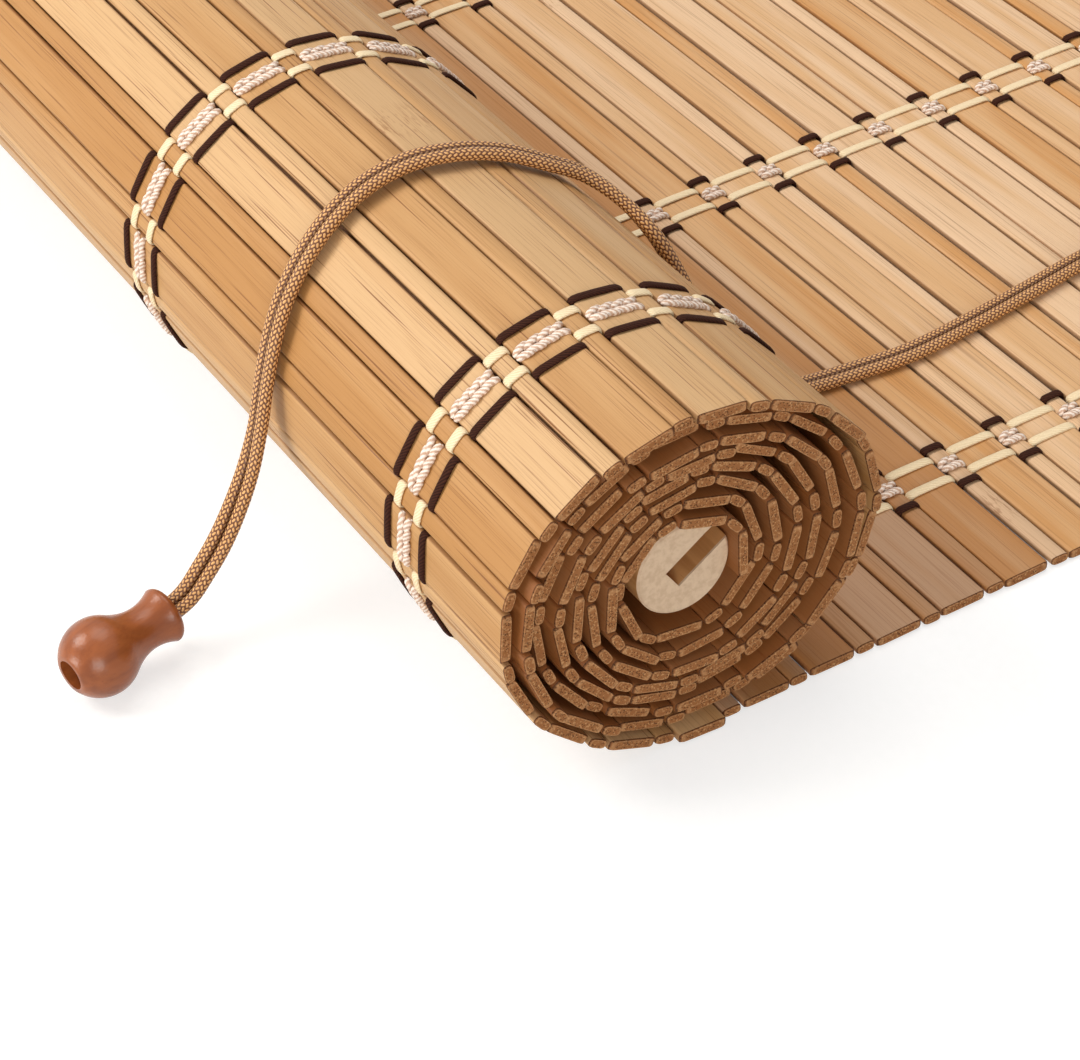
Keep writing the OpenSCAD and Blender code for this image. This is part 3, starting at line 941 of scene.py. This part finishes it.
@dataclass
class ThreadBands:
    """Floats of the warp threads: each dives into the gaps beside the slat or stick that it crosses."""

    name: str
    node: str
    slot: str
    places: np.ndarray
    elements: Elements
    sizes: MatSizes
    half_width: float = 0.85 * MM
    half_height: float = 0.36 * MM
    rings: int = 9
    sides: int = 8
    square: float = 4.5

    def arch(self, count: int) -> tuple[np.ndarray, np.ndarray]:
        """Gives a float's line: a flat-topped superellipse from gap to gap.

        Args:
            count: Number of points along it.

        Returns:
            Place along each element's width, and height over its middle.
        """
        sweep = np.linspace(-math.pi / 2, math.pi / 2, count)
        up, along = rounded(sweep, self.square)
        reach = self.elements.width / 2 + self.sizes.gap / 2
        rise = self.sizes.slat_t / 2 + self.half_height
        return reach[:, None] * along[None, :], np.broadcast_to(rise * up[None, :], (len(reach), count))

    def sweep(
        self,
        along: np.ndarray,
        height: np.ndarray,
        side: np.ndarray,
        wide: float | np.ndarray,
        high: float | np.ndarray,
    ) -> tuple[np.ndarray, np.ndarray]:
        """Sweeps an oval section along lines over the elements, at every band.

        Args:
            along: Place along the element's width for each line and ring.
            height: Height over the element's middle.
            side: Place beside the band's line.
            wide: Half of the section's width, one number or one for each ring.
            high: Half of the section's height, likewise.

        Returns:
            Points of the tubes, and how far along the yarn's slanting plies they lie.
        """
        step = unit(np.stack([np.gradient(along, axis=1), np.gradient(height, axis=1)], axis=-1))
        turn = np.linspace(0, math.tau, self.sides, endpoint=False)
        lateral = np.atleast_1d(wide)[None, :, None] * np.cos(turn)
        rise = np.atleast_1d(high)[None, :, None] * np.sin(turn)
        at_a = along[:, :, None] - step[:, :, None, 1] * rise
        at_h = height[:, :, None] + step[:, :, None, 0] * rise
        x, z = self.elements.placed(at_a, at_h)
        y = np.broadcast_to(side[:, :, None] + lateral, x.shape)
        one = np.stack([x, y, np.maximum(z, 0.0)], axis=-1)
        every = one[None] + np.array([0, 1.0, 0]) * self.places[:, None, None, None, None]
        run = np.cumsum(np.hypot(np.gradient(along, axis=1), np.gradient(height, axis=1)), axis=1)
        lay = np.broadcast_to(run[:, :, None] + lateral, x.shape).copy()
        lay = np.broadcast_to(lay[None], every.shape[:-1])
        return every.reshape(-1, *every.shape[2:]), lay.reshape(-1, *lay.shape[2:])

    def lines(self) -> list[tuple[np.ndarray, np.ndarray]]:
        """Lays one thread over each element.

        Returns:
            The swept tubes with their plies.
        """
        along, height = self.arch(self.rings)
        side = np.zeros_like(along)
        return [self.sweep(along, height, side, self.half_width, self.half_height)]

    def build(self, finish: bpy.types.Material) -> bpy.types.Object:
        """Makes one piece of all the floats.

        Args:
            finish: Finish of the yarn.

        Returns:
            The riding piece.
        """
        swept = self.lines()
        points = np.concatenate([s[0] for s in swept])
        lay = np.concatenate([s[1] for s in swept])
        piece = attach(TubeBatch(self.name, points, numbers={"lay": lay}).build(finish), ROOT)
        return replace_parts(piece, self.node)


@dataclass
class BraidBands(ThreadBands):
    """Middle braid of each band: a crochet chain of slanting stitches in two rows."""

    stitch: float = 0.68 * MM
    row: float = 0.82 * MM
    slant: float = 0.46 * MM
    pitch: float = 2.05 * MM
    overlap: float = 1.5
    lift: float = 0.12 * MM
    seat: float = 0.6
    taper: float = 0.94
    flatness: float = 0.85
    end_at: float = 0.985
    rings: int = 7
    sides: int = 8

    def lines(self) -> list[tuple[np.ndarray, np.ndarray]]:
        """Lays the stitches over the broad slats and over the sticks, as swept tubes with their plies."""
        kinds = [self.elements.chosen(self.elements.broad == broad) for broad in (True, False)]
        return [tube for kind in kinds for tube in replace(self, elements=kind).stitches()]

    def stitches(self) -> list[tuple[np.ndarray, np.ndarray]]:
        """Lays pairs of stitches along the float: each is a spindle that slants away from the middle.

        Returns:
            The swept tubes with their plies.
        """
        reach = self.elements.width[:, None] / 2 + self.sizes.gap / 2
        count = max(2, round(float(2 * reach[0, 0]) / self.pitch))
        rise = self.sizes.slat_t / 2 + self.stitch * self.seat
        ring = np.linspace(-1, 1, self.rings)
        radius = self.stitch * np.sqrt(1 - (self.taper * ring) ** 2)
        made = []
        for middle in -1 + (2 * np.arange(count) + 1) / count:
            t = np.clip(middle + ring * self.overlap / count, -self.end_at, self.end_at)
            along = reach * t
            arch = (1 - np.abs(t) ** self.square) ** (1 / self.square)
            height = np.broadcast_to(rise * arch + self.lift * ring, along.shape)
            for side in (-1, 1):
                place = np.broadcast_to(side * (self.row + self.slant * ring), along.shape)
                made.append(self.sweep(along, height, place, radius, self.flatness * radius))
        return made


@dataclass
class BottomRod:
    """Round rod within the roll, sawn along its length for the strip at the mat's lower end."""

    sizes: MatSizes
    node: str = "bottom_rod"
    slot_w: float = 4 * MM
    slot_past_axis: float = 2.4 * MM
    slot_turn: float = 33.0
    chamfer: float = 0.35 * MM
    arc_points: int = 72
    wall_points: int = 8

    def outline(self) -> np.ndarray:
        """Gives the section: an arc from one lip of the slot round to the other, then the slot's walls.

        Returns:
            Closed outline in the section's own plane, the slot along +x.
        """
        radius, half = self.sizes.rod_d / 2, self.slot_w / 2
        lip = math.asin(half / radius)
        arc = np.linspace(lip, math.tau - lip, self.arc_points)
        round_part = radius * np.stack([np.cos(arc), np.sin(arc)], axis=-1)
        deep = np.linspace(round_part[-1, 0], -self.slot_past_axis, self.wall_points)
        lower = np.stack([deep, np.full_like(deep, -half)], axis=-1)
        upper = np.stack([deep[::-1], np.full_like(deep, half)], axis=-1)
        return np.concatenate([round_part, lower[1:], upper[:-1]])

    def build(self, side: bpy.types.Material, end: bpy.types.Material) -> bpy.types.Object:
        """Sweeps the slotted section along the rod, with its round outer corner broken at both ends.

        Args:
            side: Finish along the rod.
            end: Finish of the sawn ends.

        Returns:
            The riding piece.
        """
        low, high = (np.array(c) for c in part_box(self.node))
        centre = (low + high) / 2
        outline = self.outline()
        reach = np.linalg.norm(outline, axis=-1, keepdims=True)
        inner = outline * np.minimum(1, (self.sizes.rod_d / 2 - self.chamfer) / reach)
        rows = [inner, outline, outline, inner]
        y = np.array([low[1], low[1] + self.chamfer, high[1] - self.chamfer, high[1]])
        flat = np.stack(rows)
        turn = math.radians(self.slot_turn)
        x = flat[..., 0] * math.cos(turn) - flat[..., 1] * math.sin(turn)
        z = flat[..., 0] * math.sin(turn) + flat[..., 1] * math.cos(turn)
        y = np.broadcast_to(y[:, None], x.shape)
        points = np.stack([centre[0] + x, y, centre[2] + z], axis=-1)[None]
        grain = points[..., [1, 0, 2]]
        batch = TubeBatch("bottom_rod_turned", points, vectors={"grain": grain}, end_rings=1)
        piece = batch.build(side, end)
        piece.data.polygons.foreach_set("use_smooth", np.zeros(len(piece.data.polygons), bool))
        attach(piece, ROOT)
        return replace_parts(piece, self.node)


@dataclass
class Knob:
    """Turned wooden knob: a bulb that narrows to a waist and widens to a neck, bored for the cord."""

    node: str = "pull_knob"
    at: Triple = (-178 * MM, -239.3 * MM, 6.6 * MM)
    turn: float = 11.5
    tilt: float = 2.8
    bulb_d: float = 13 * MM
    waist_d: float = 7.4 * MM
    neck_d: float = 9.4 * MM
    reach: float = 13.7 * MM
    bore_d: float = 4.7 * MM
    bulb_bore_d: float = 5.1 * MM
    step_at: float = 4 * MM
    leave: float = 124.0
    mouth: float = 3.2 * MM
    lip: float = 1.2 * MM
    bulb_points: int = 30
    waist_points: int = 22
    lip_points: int = 9
    sides: int = 72
    sharp: float = 40.0

    @property
    def axis(self) -> np.ndarray:
        """Direction from the bulb to the neck."""
        turn, tilt = math.radians(self.turn), math.radians(self.tilt)
        return np.array([math.cos(tilt) * math.cos(turn), math.cos(tilt) * math.sin(turn), math.sin(tilt)])

    def along_axis(self, distance: float) -> np.ndarray:
        """Gives the place on the knob's axis at a distance from the bulb's middle towards the neck."""
        return np.array(self.at) + distance * self.axis

    def profile(self) -> np.ndarray:
        """Gives radius and height round the section: bore, bulb arc, waist of two parabolas, neck, bore.

        Returns:
            Closed outline of the section.
        """
        bulb, waist, neck = self.bulb_d / 2, self.waist_d / 2, self.neck_d / 2
        t = np.linspace(math.asin(self.mouth / bulb), math.radians(self.leave), self.bulb_points)
        arc = np.stack([bulb * np.sin(t), -bulb * np.cos(t)], axis=-1)
        join, from_z = arc[-1]
        to_z = self.reach - self.lip
        pinch = waist - math.sqrt((join - waist) * (neck - waist))
        u = np.linspace(0, 1, self.waist_points)[1:]
        throat_r = pinch + (1 - u) ** 2 * (join - pinch) + u**2 * (neck - pinch)
        throat = np.stack([throat_r, from_z + u * (to_z - from_z)], axis=-1)
        v = np.linspace(0, math.pi / 2, self.lip_points)[1:]
        lip = np.stack([neck - self.lip * (1 - np.cos(v)), to_z + self.lip * np.sin(v)], axis=-1)
        wide, small = self.bulb_bore_d / 2, self.bore_d / 2
        neck_bore = [[small, self.reach], [small, self.step_at]]
        bulb_bore = [[wide, self.step_at], [wide, arc[0, 1]]]
        return np.concatenate([arc, throat, lip, neck_bore, bulb_bore])

    def build(self, finish: bpy.types.Material) -> bpy.types.Object:
        """Turns the section round the knob's axis; the outline closes on itself through the bore.

        Args:
            finish: Finish of the wood.

        Returns:
            The riding piece.
        """
        outline = self.profile()
        axis = self.axis
        side = unit(np.cross(axis, [0, 0, 1.0]))
        up = np.cross(side, axis)
        turn = np.linspace(0, math.tau, self.sides, endpoint=False)
        radial = np.cos(turn)[:, None] * side + np.sin(turn)[:, None] * up
        points = (
            np.array(self.at)
            + outline[:, None, :1] * radial[None]
            + outline[:, None, 1:] * axis
        )
        count = len(outline)
        index = np.arange(count * self.sides).reshape(count, self.sides)
        ahead, turned = np.roll(index, -1, axis=0), np.roll(index, -1, axis=1)
        both = np.roll(ahead, -1, axis=1)
        faces = np.stack([index, turned, both, ahead], axis=-1).reshape(-1, 4)
        mesh = bpy.data.meshes.new("pull_knob_turned")
        mesh.from_pydata(points.reshape(-1, 3).tolist(), [], faces[:, ::-1].tolist())
        local = np.stack(
            [
                np.broadcast_to(outline[:, 1:], (count, self.sides)),
                outline[:, :1] * np.cos(turn),
                outline[:, :1] * np.sin(turn),
            ],
            axis=-1,
        )
        layer = mesh.attributes.new("grain", "FLOAT_VECTOR", "POINT")
        layer.data.foreach_set("vector", local.astype(np.float32).ravel())
        mesh.polygons.foreach_set("use_smooth", np.ones(len(faces), bool))
        mesh.set_sharp_from_angle(angle=math.radians(self.sharp))
        mesh.materials.append(finish)
        piece = bpy.data.objects.new("pull_knob_turned", mesh)
        bpy.context.scene.collection.objects.link(piece)
        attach(piece, ROOT)
        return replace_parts(piece, self.node)


class Strand(Enum):
    """Side of the route that each strand of the pull cord lies on."""

    A = -1
    B = 1


@dataclass
class PullCord:
    """One braided strand of the pull cord, from the lock's wheel over the roll to the knob."""

    strand: Strand
    knob: Knob
    node: str
    diameter: float = 2.2 * MM
    apart: float = 2.12 * MM
    turn_from: int = 29
    turn_over: int = 3
    front_side: Triple = (-0.75, 0.66, 0.0)
    carriers: int = 6
    pick: float = 0.95 * MM
    relief: float = 0.06
    ring_step: float = 0.19 * MM
    sides: int = 36
    curve_points: int = 24
    path_step: int = 6

    def lead(self) -> np.ndarray:
        """Gives the strand's first points, from its wheel in the lock.

        Returns:
            Places in metres.
        """
        lower = [[109.3, -228.3, 18], [102, -228.9, 18], [95, -229.5, 16]]
        upper = [[109.3, -228.3, 23.3], [102, -227.8, 23], [95, -227.2, 20]]
        return np.array(lower if self.strand is Strand.A else upper) * MM

    def route(self) -> np.ndarray:
        """Gives the line that both strands follow: along the mat, over the roll and down to the knob.

        Returns:
            Places in metres.
        """
        along_mat = [
            [84, -229, 9], [74, -231, 4.2], [62, -233, 2.8], [46, -235, 2.8], [30, -237, 2.8],
            [16, -238, 2.8], [2, -240, 2.8], [-13, -242, 2.8], [-26, -243, 2.8], [-36, -242, 2.8],
            [-46, -241, 3.2], [-54, -242.5, 6.5], [-61, -244, 13], [-66, -244.5, 21.5],
        ]
        over_roll = [
            [-69.5, -244, 30], [-72, -242, 38], [-74, -239, 44], [-76, -233, 48], [-80, -228, 52],
            [-86, -226, 55.6], [-92, -224, 58.6], [-99, -222.5, 60.7], [-107, -221.3, 61.4],
            [-115, -221.2, 60.2], [-122, -222.4, 57.7], [-128, -224, 54], [-133.5, -226, 49],
        ]
        down = [
            [-137.5, -228, 43.4], [-140.4, -229.2, 36.5], [-142.8, -230.2, 29.8], [-146, -231.6, 23.8],
            [-149.8, -233.2, 18.9], [-153.6, -234.5, 14.8], [-157.4, -235.4, 11.4], [-161, -236.1, 8.6],
        ]
        into_knob = [self.knob.along_axis(d * MM) for d in (13, 9.5, 5.8)]
        return np.concatenate([np.array(along_mat + over_roll + down) * MM, into_knob])

    def centreline(self) -> np.ndarray:
        """Gives the strand's own points: the route moved half the strands' distance to its side.

        Returns:
            Places in metres.
        """
        route = self.route()
        before, after = np.vstack([route[:1], route[:-1]]), np.vstack([route[1:], route[-1:]])
        heading = unit(after - before)
        turned = np.clip((np.arange(len(route)) - self.turn_from) / self.turn_over, 0, 1)[:, None]
        way = (1 - turned) * np.array([0, 1.0, 0]) + turned * np.array(self.front_side)
        beside = unit(way - heading * (heading * way).sum(axis=1, keepdims=True))
        return np.concatenate([self.lead(), route + beside * self.strand.value * self.apart / 2])

    def smooth(self) -> np.ndarray:
        """Draws a smooth cubic curve through the points and spaces its rings evenly along it.

        Returns:
            Ring middles in metres.
        """
        p = self.centreline()
        p = np.vstack([2 * p[0] - p[1], p, 2 * p[-1] - p[-2]])
        t = np.linspace(0, 1, self.curve_points, endpoint=False)[None, :, None]
        a, b, c, d = (p[i : len(p) - 3 + i][:, None, :] for i in range(4))
        bend, twist = 2 * a - 5 * b + 4 * c - d, 3 * b - a - 3 * c + d
        curve = 0.5 * (2 * b + (c - a) * t + bend * t**2 + twist * t**3)
        curve = np.vstack([curve.reshape(-1, 3), p[-2]])
        run = np.concatenate([[0], np.cumsum(np.linalg.norm(np.diff(curve, axis=0), axis=1))])
        even = np.linspace(0, run[-1], int(run[-1] / self.ring_step))
        return np.stack([np.interp(even, run, curve[:, i]) for i in range(3)], axis=-1)

    def crease(self, line: np.ndarray, radial: np.ndarray) -> np.ndarray:
        """Tells how deep each point lies in the crease beside the other strand, from the cosine towards it.

        Args:
            line: Ring middles.
            radial: Direction of each point from its ring's middle.

        Returns:
            1 where the strands touch, 0 away from the other strand.
        """
        other = replace(self, strand=Strand.B if self.strand is Strand.A else Strand.A).smooth()
        apart = np.linalg.norm(line[:, None, :] - other[None], axis=-1)
        nearest = apart.argmin(axis=1)
        near = np.clip(2 - apart[np.arange(len(line)), nearest] / self.apart, 0, 1)
        toward = unit(other[nearest] - line)
        return near[:, None] * np.clip((radial * toward[:, None, :]).sum(axis=-1), 0, 1)

    def build(self, finish: bpy.types.Material, fittings: list[bpy.types.Object]) -> bpy.types.Object:
        """Sweeps a circle whose radius swells in each diamond between two crossing families of helices.

        Args:
            finish: Finish of the cord.
            fittings: The knob on the cord's end and the knot in it; not used.

        Returns:
            The riding piece.
        """
        line = self.smooth()
        heading = unit(np.gradient(line, axis=0))
        side = unit(np.array([0, 1.0, 0]) - heading * heading[:, 1:2])
        up = np.cross(heading, side)
        turn = np.linspace(0, math.tau, self.sides, endpoint=False)[None, :]
        around = self.carriers * turn / 2
        run = (np.arange(len(line)) * self.ring_step)[:, None] * math.pi / self.pick
        swell = np.abs(np.sin(around + run) * np.sin(around - run))
        radius = self.diameter / 2 * (1 - self.relief + self.relief * swell)
        radial = np.cos(turn)[..., None] * side[:, None, :] + np.sin(turn)[..., None] * up[:, None, :]
        points = line[:, None, :] + radius[..., None] * radial
        # The crease attribute carries the painted shade between the two strands.
        crease = self.crease(line, radial)[None]
        name = f"pull_cord_{self.strand.name.lower()}"
        cells = (self.carriers, self.ring_step / self.pick)
        batch = TubeBatch(name, points[None], {"crease": crease}, braid=cells)
        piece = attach(batch.build(finish), ROOT)
        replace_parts(piece, self.node)
        return piece


@dataclass(frozen=True)
class CadFinish:
    """One finish for CAD nodes that show as they are."""

    material: bpy.types.Material
    slot: str
    nodes: tuple[str, ...]

    def apply(self, frame: dict) -> None:
        """Puts the finish on its nodes.

        Args:
            frame: The loaded frame.
        """
        for name in self.nodes:
            piece = frame["nodes"][name]
            piece.data.materials.clear()
            piece.data.materials.append(self.material)


@dataclass(frozen=True)
class Camera:
    """Camera at the photo's place, found from the blind's own edges in it."""

    target: Triple = (-101.77 * MM, -244.85 * MM, 0.0)
    distance: float = 550.77 * MM
    azimuth: float = -28.42
    elevation: float = 39.03
    roll: float = -4.15
    focal_px: float = 3360.4
    picture_w: int = 1080
    sensor: float = 36.0

    def build(self) -> bpy.types.Object:
        """Aims the camera: back from the target by angle and distance, then rolled on its own axis.

        Returns:
            The scene's camera.
        """
        az, el, roll = (math.radians(v) for v in (self.azimuth, self.elevation, self.roll))
        back = Vector((math.sin(az) * math.cos(el), -math.cos(az) * math.cos(el), math.sin(el)))
        level = Vector((math.cos(az), math.sin(az), 0))
        upright = back.cross(level)
        right = level * math.cos(roll) + upright * math.sin(roll)
        up = upright * math.cos(roll) - level * math.sin(roll)
        place = Vector(self.target) + back * self.distance
        data = bpy.data.cameras.new("photo_camera")
        data.sensor_fit = "HORIZONTAL"
        data.sensor_width = self.sensor
        data.lens = self.focal_px / self.picture_w * self.sensor
        data.clip_start, data.clip_end = 0.01, 100
        camera = bpy.data.objects.new("photo_camera", data)
        bpy.context.scene.collection.objects.link(camera)
        camera.matrix_world = Matrix(
            (
                (right.x, up.x, back.x, place.x),
                (right.y, up.y, back.y, place.y),
                (right.z, up.z, back.z, place.z),
                (0, 0, 0, 1),
            )
        )
        bpy.context.scene.camera = camera
        return camera


@dataclass(frozen=True)
class Lamp:
    """One soft square lamp aimed at a point."""

    name: str
    place: Triple
    aim: Triple
    side: float
    power: float
    colour: Colour = (255, 252, 246)

    def build(self) -> bpy.types.Object:
        """Makes the lamp.

        Returns:
            The lamp's object.
        """
        data = bpy.data.lights.new(self.name, "AREA")
        data.size = self.side
        data.energy = self.power
        data.color = linear(*self.colour)[:3]
        lamp = bpy.data.objects.new(self.name, data)
        bpy.context.scene.collection.objects.link(lamp)
        lamp.location = self.place
        lamp.rotation_euler = (Vector(self.aim) - Vector(self.place)).to_track_quat("-Z", "Y").to_euler()
        return lamp


@dataclass
class Studio:
    """White floor and surround with soft lamps."""

    floor_half: float = 12.0
    floor_drop: float = 0.1 * MM
    floor_lift: float = 0.62
    gap_lift: float = 0.2
    near_reach: float = 0.5
    far_reach: float = 1.5
    covered: tuple[float, float] = (100 * MM, 298 * MM)
    sky: float = 0.3
    paper_dark: Colour = (186, 186, 185)
    paper_light: Colour = (192, 192, 192)
    paper_cells: Triple = (900, 900, 900)

    def floor_finish(self) -> bpy.types.Material:
        """Makes a white floor that keeps its shadows, lifted a little where it is seen.

        Returns:
            The material.
        """
        s = Shader("white_floor")
        paper = s.noise(s.place(), self.paper_cells, 2.0)
        fleck = s.remap(paper, 0.3, 0.7, 0, 1)
        colour = s.mix(fleck, linear(*self.paper_dark), linear(*self.paper_light))
        split = s.tree.nodes.new("ShaderNodeSeparateXYZ")
        s.join(s.place(), split.inputs["Vector"])
        out_x = s.math("GREATER_THAN", s.math("ABSOLUTE", split.outputs["X"]), self.covered[0])
        out_y = s.math("GREATER_THAN", s.math("ABSOLUTE", split.outputs["Y"]), self.covered[1])
        bare = s.remap(s.math("MAXIMUM", out_x, out_y), 0, 1, self.gap_lift, 1)
        square_x, square_y = (s.math("POWER", split.outputs[axis], 2.0) for axis in "XY")
        far = s.math("SQRT", s.math("ADD", square_x, square_y))
        lift = s.math("MULTIPLY", bare, s.remap(far, self.near_reach, self.far_reach, self.floor_lift, 1.0))
        s.surface.inputs["Emission Color"].default_value = (1, 1, 1, 1)
        s.feed(s.surface.inputs["Emission Strength"], s.math("MULTIPLY", seen_rays(s.tree), lift))
        return s.finish(colour, 0.9, specular=0.05)

    def world(self) -> None:
        """Makes an even surround: white where it is seen, softer where it lights the object."""
        world = bpy.data.worlds.new("surround")
        world.use_nodes = True
        tree = world.node_tree
        tree.nodes.clear()
        level = tree.nodes.new("ShaderNodeMapRange")
        level.inputs["To Min"].default_value = self.sky
        level.inputs["To Max"].default_value = 1.0
        tree.links.new(seen_rays(tree), level.inputs["Value"])
        light = tree.nodes.new("ShaderNodeBackground")
        tree.links.new(level.outputs["Result"], light.inputs["Strength"])
        light.inputs["Color"].default_value = (1, 1, 1, 1)
        output = tree.nodes.new("ShaderNodeOutputWorld")
        tree.links.new(light.outputs["Background"], output.inputs["Surface"])
        bpy.context.scene.world = world

    def build(self) -> None:
        """Makes the floor, the surround and the lamps."""
        half, z = self.floor_half, -self.floor_drop
        corners = [(-half, -half, z), (half, -half, z), (half, half, z), (-half, half, z)]
        mesh = bpy.data.meshes.new("floor")
        mesh.from_pydata(corners, [], [(0, 1, 2, 3)])
        mesh.materials.append(self.floor_finish())
        floor = bpy.data.objects.new("floor", mesh)
        bpy.context.scene.collection.objects.link(floor)
        self.world()
        for lamp in (
            Lamp("key", (-1.05, 0.55, 1.25), (-0.1, -0.15, 0.0), 0.8, 18),
            Lamp("above", (0.25, 0.2, 1.7), (0.0, -0.1, 0.0), 1.2, 12),
            Lamp("left", (-1.5, -0.1, 0.16), (-0.15, -0.2, 0.03), 0.5, 8),
            Lamp("front", (-0.75, -1.45, 0.4), (-0.1, -0.28, 0.03), 0.7, 9),
        ):
            lamp.build()


@dataclass
class Blind:
    """The whole blind: mat, bands, rod, cord, knob and rail with its hardware."""

    frame: dict
    sizes: MatSizes = field(default_factory=MatSizes)
    floats_from: float = 14.0
    floats_to: float = 345.0
    # The roll's turns past outer_count take painted shade, rising over outer_ramp slats to most_dark.
    outer_count: int = 29
    outer_ramp: int = 4
    most_dark: float = 0.85
    # Flat slats nearer the roll than shaded_count take painted shadow, up to most_shaded, fading over
    # shaded_ramp slats.
    shaded_count: int = 11
    shaded_ramp: int = 6
    most_shaded: float = 0.5

    def stretches(self) -> tuple[Elements, Elements, Elements]:
        """Lays out the mat on the frame.

        Returns:
            Rolled elements, flat elements, and the outer rolled ones that show their threads.
        """
        low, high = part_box("bottom_rod")
        aside, above = self.sizes.rod_off
        spiral = OvalSpiral(self.sizes, (low.x + high.x) / 2 - aside, (low.z + high.z) / 2 - above)
        rolled = spiral.elements()
        start = float(spiral.point(self.sizes.roll_start)[0]) + self.sizes.gap / 2
        flat = FlatStretch(self.sizes, start).elements()
        spans, _ = spiral.spans()
        outer = rolled.chosen((spans[:, 0] > self.floats_from) & (spans[:, 1] < self.floats_to))
        return rolled, flat, outer

    def build_mat(self) -> None:
        """Makes the slats and the thread bands."""
        rolled, flat, outer = self.stretches()
        self.build_slats(rolled, flat)
        self.build_bands(flat, outer)

    def build_slats(self, rolled: Elements, flat: Elements) -> None:
        """Makes the separate slats of the roll and of the flat stretch.

        Args:
            rolled: Elements of the roll.
            flat: Elements of the flat stretch.
        """
        end = BambooEnd().build()
        roll_face = BambooFace("roll_bamboo", (205, 165, 118), (195, 149, 97), (179, 129, 74), 0.95)
        flat_face = BambooFace("flat_bamboo", (226, 190, 152), (214, 170, 122), (200, 144, 84), 0.35)
        # Painted shade: the roll's inner turns darken step by step, standing in for the shade within the
        # roll.
        turned_in = np.arange(len(rolled.width)) - self.outer_count
        covered = np.clip(turned_in / self.outer_ramp, 0, self.most_dark)
        SlatMat(
            "rolled_slats", "rolled_mat", rolled, self.sizes, 11,
            end_drift=2.2 * MM, painted_shade=covered, thickest=1.12, swell=0.25 * MM,
        ).build(roll_face.build(), end)
        # Painted shadow: the flat slats next to the roll darken, standing in for the roll's shadow on them.
        near_roll = self.shaded_count - np.arange(len(flat.width))
        beside = np.clip(near_roll / self.shaded_ramp, 0, self.most_shaded)
        SlatMat(
            "flat_slats", "flat_mat", flat, self.sizes, 23,
            end_play=0.5 * MM, painted_shade=beside, stray=0.3 * MM,
        ).build(flat_face.build(), end)

    def build_bands(self, flat: Elements, outer: Elements) -> None:
        """Makes the brown and cream threads and the middle braid of every band.

        Args:
            flat: Elements of the flat stretch.
            outer: Elements of the roll that show their threads.
        """
        s = self.sizes
        brown = flat.chosen(~flat.broad).joined(outer.chosen(outer.broad))
        cream = flat.chosen(flat.broad).joined(outer.chosen(~outer.broad))
        dark = Yarn("brown_yarn", (68, 38, 27), (42, 22, 16), relief=0.08 * MM, specular=0.06)
        light = Yarn("cream_yarn", (246, 226, 190), (230, 204, 162), relief=0.08 * MM, roughness=0.5)
        pale = Yarn("braid_yarn", (252, 238, 226), (200, 162, 136), 0.9 * MM, 0.12 * MM, 0.3)
        at_brown, at_cream = s.beside_bands(s.brown_offset), s.beside_bands(s.cream_offset)
        ThreadBands(
            "brown_floats", "brown_threads", "brown_thread", at_brown, brown, s
        ).build(dark.build())
        ThreadBands(
            "cream_floats", "cream_threads", "cream_thread", at_cream, cream, s,
            half_width=1.0 * MM, half_height=0.28 * MM,
        ).build(light.build())
        BraidBands(
            "braid_floats", "braid_threads", "pale_braid", s.band_places, brown, s
        ).build(pale.build())

    def build_rod(self) -> None:
        """Makes the rod with its slot."""
        side = Wood("rod_side", (214, 160, 104), (184, 130, 78), (30, 420, 420)).build()
        end = Wood("rod_end", (222, 194, 164), (208, 178, 148), (500, 900, 900), roughness=0.8).build()
        BottomRod(self.sizes).build(side, end)

    def build_cord(self) -> None:
        """Makes the knob and the two strands of the pull cord."""
        knob = Knob()
        varnish = Wood("knob_wood", (156, 86, 44), (134, 70, 33), (70, 420, 420), roughness=0.27)
        piece = knob.build(varnish.build())
        knot = Yarn("knot_yarn", (204, 150, 104), (140, 88, 50)).build()
        CadFinish(knot, "pull_cord", ("cord_knot",)).apply(self.frame)
        finish = CordFinish().build()
        fittings = [piece, self.frame["nodes"]["cord_knot"]]
        for strand, node in ((Strand.A, "cord_strand_a"), (Strand.B, "cord_strand_b")):
            PullCord(strand, knob, node).build(finish, fittings)

    def finish_hardware(self) -> None:
        """Finishes the CAD nodes that show as they are."""
        wood = Wood("rail_wood", (206, 154, 92), (172, 116, 60), (260, 16, 260), False).build()
        tongue = Wood("tongue_bamboo", (204, 150, 98), (172, 120, 74), (420, 22, 420), False).build()
        steel = Metal("zinc_steel", (150, 152, 154), (138, 140, 142), 0.46).build()
        brass = Metal("brass", (214, 178, 104), (186, 146, 78), 0.28).build()
        for finish in (
            CadFinish(wood, "rail_wood", ("head_rail",)),
            CadFinish(tongue, "bamboo_slats", ("end_slat",)),
            CadFinish(
                steel,
                "steel",
                (
                    "hanger_near", "hanger_far", "mounting_screws",
                    "lock_frame", "lock_pawl", "pulley_frame",
                ),
            ),
            CadFinish(
                brass,
                "brass",
                (
                    "lock_wheel_lower", "lock_wheel_upper", "pulley_wheel",
                    "lock_axle", "pawl_pin", "pulley_axle",
                ),
            ),
        ):
            finish.apply(self.frame)

    def build(self) -> None:
        """Makes every sub-assembly in order."""
        self.build_mat()
        self.build_rod()
        self.build_cord()
        self.finish_hardware()


def main() -> None:
    """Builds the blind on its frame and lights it."""
    logging.basicConfig(level=logging.INFO, format="%(name)s: %(message)s")
    bpy.ops.wm.read_factory_settings(use_empty=True)
    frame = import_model()
    Blind(frame).build()
    Studio().build()
    Camera().build()
    bpy.context.scene.view_settings.view_transform = "Standard"


if __name__ == "__main__":
    main()
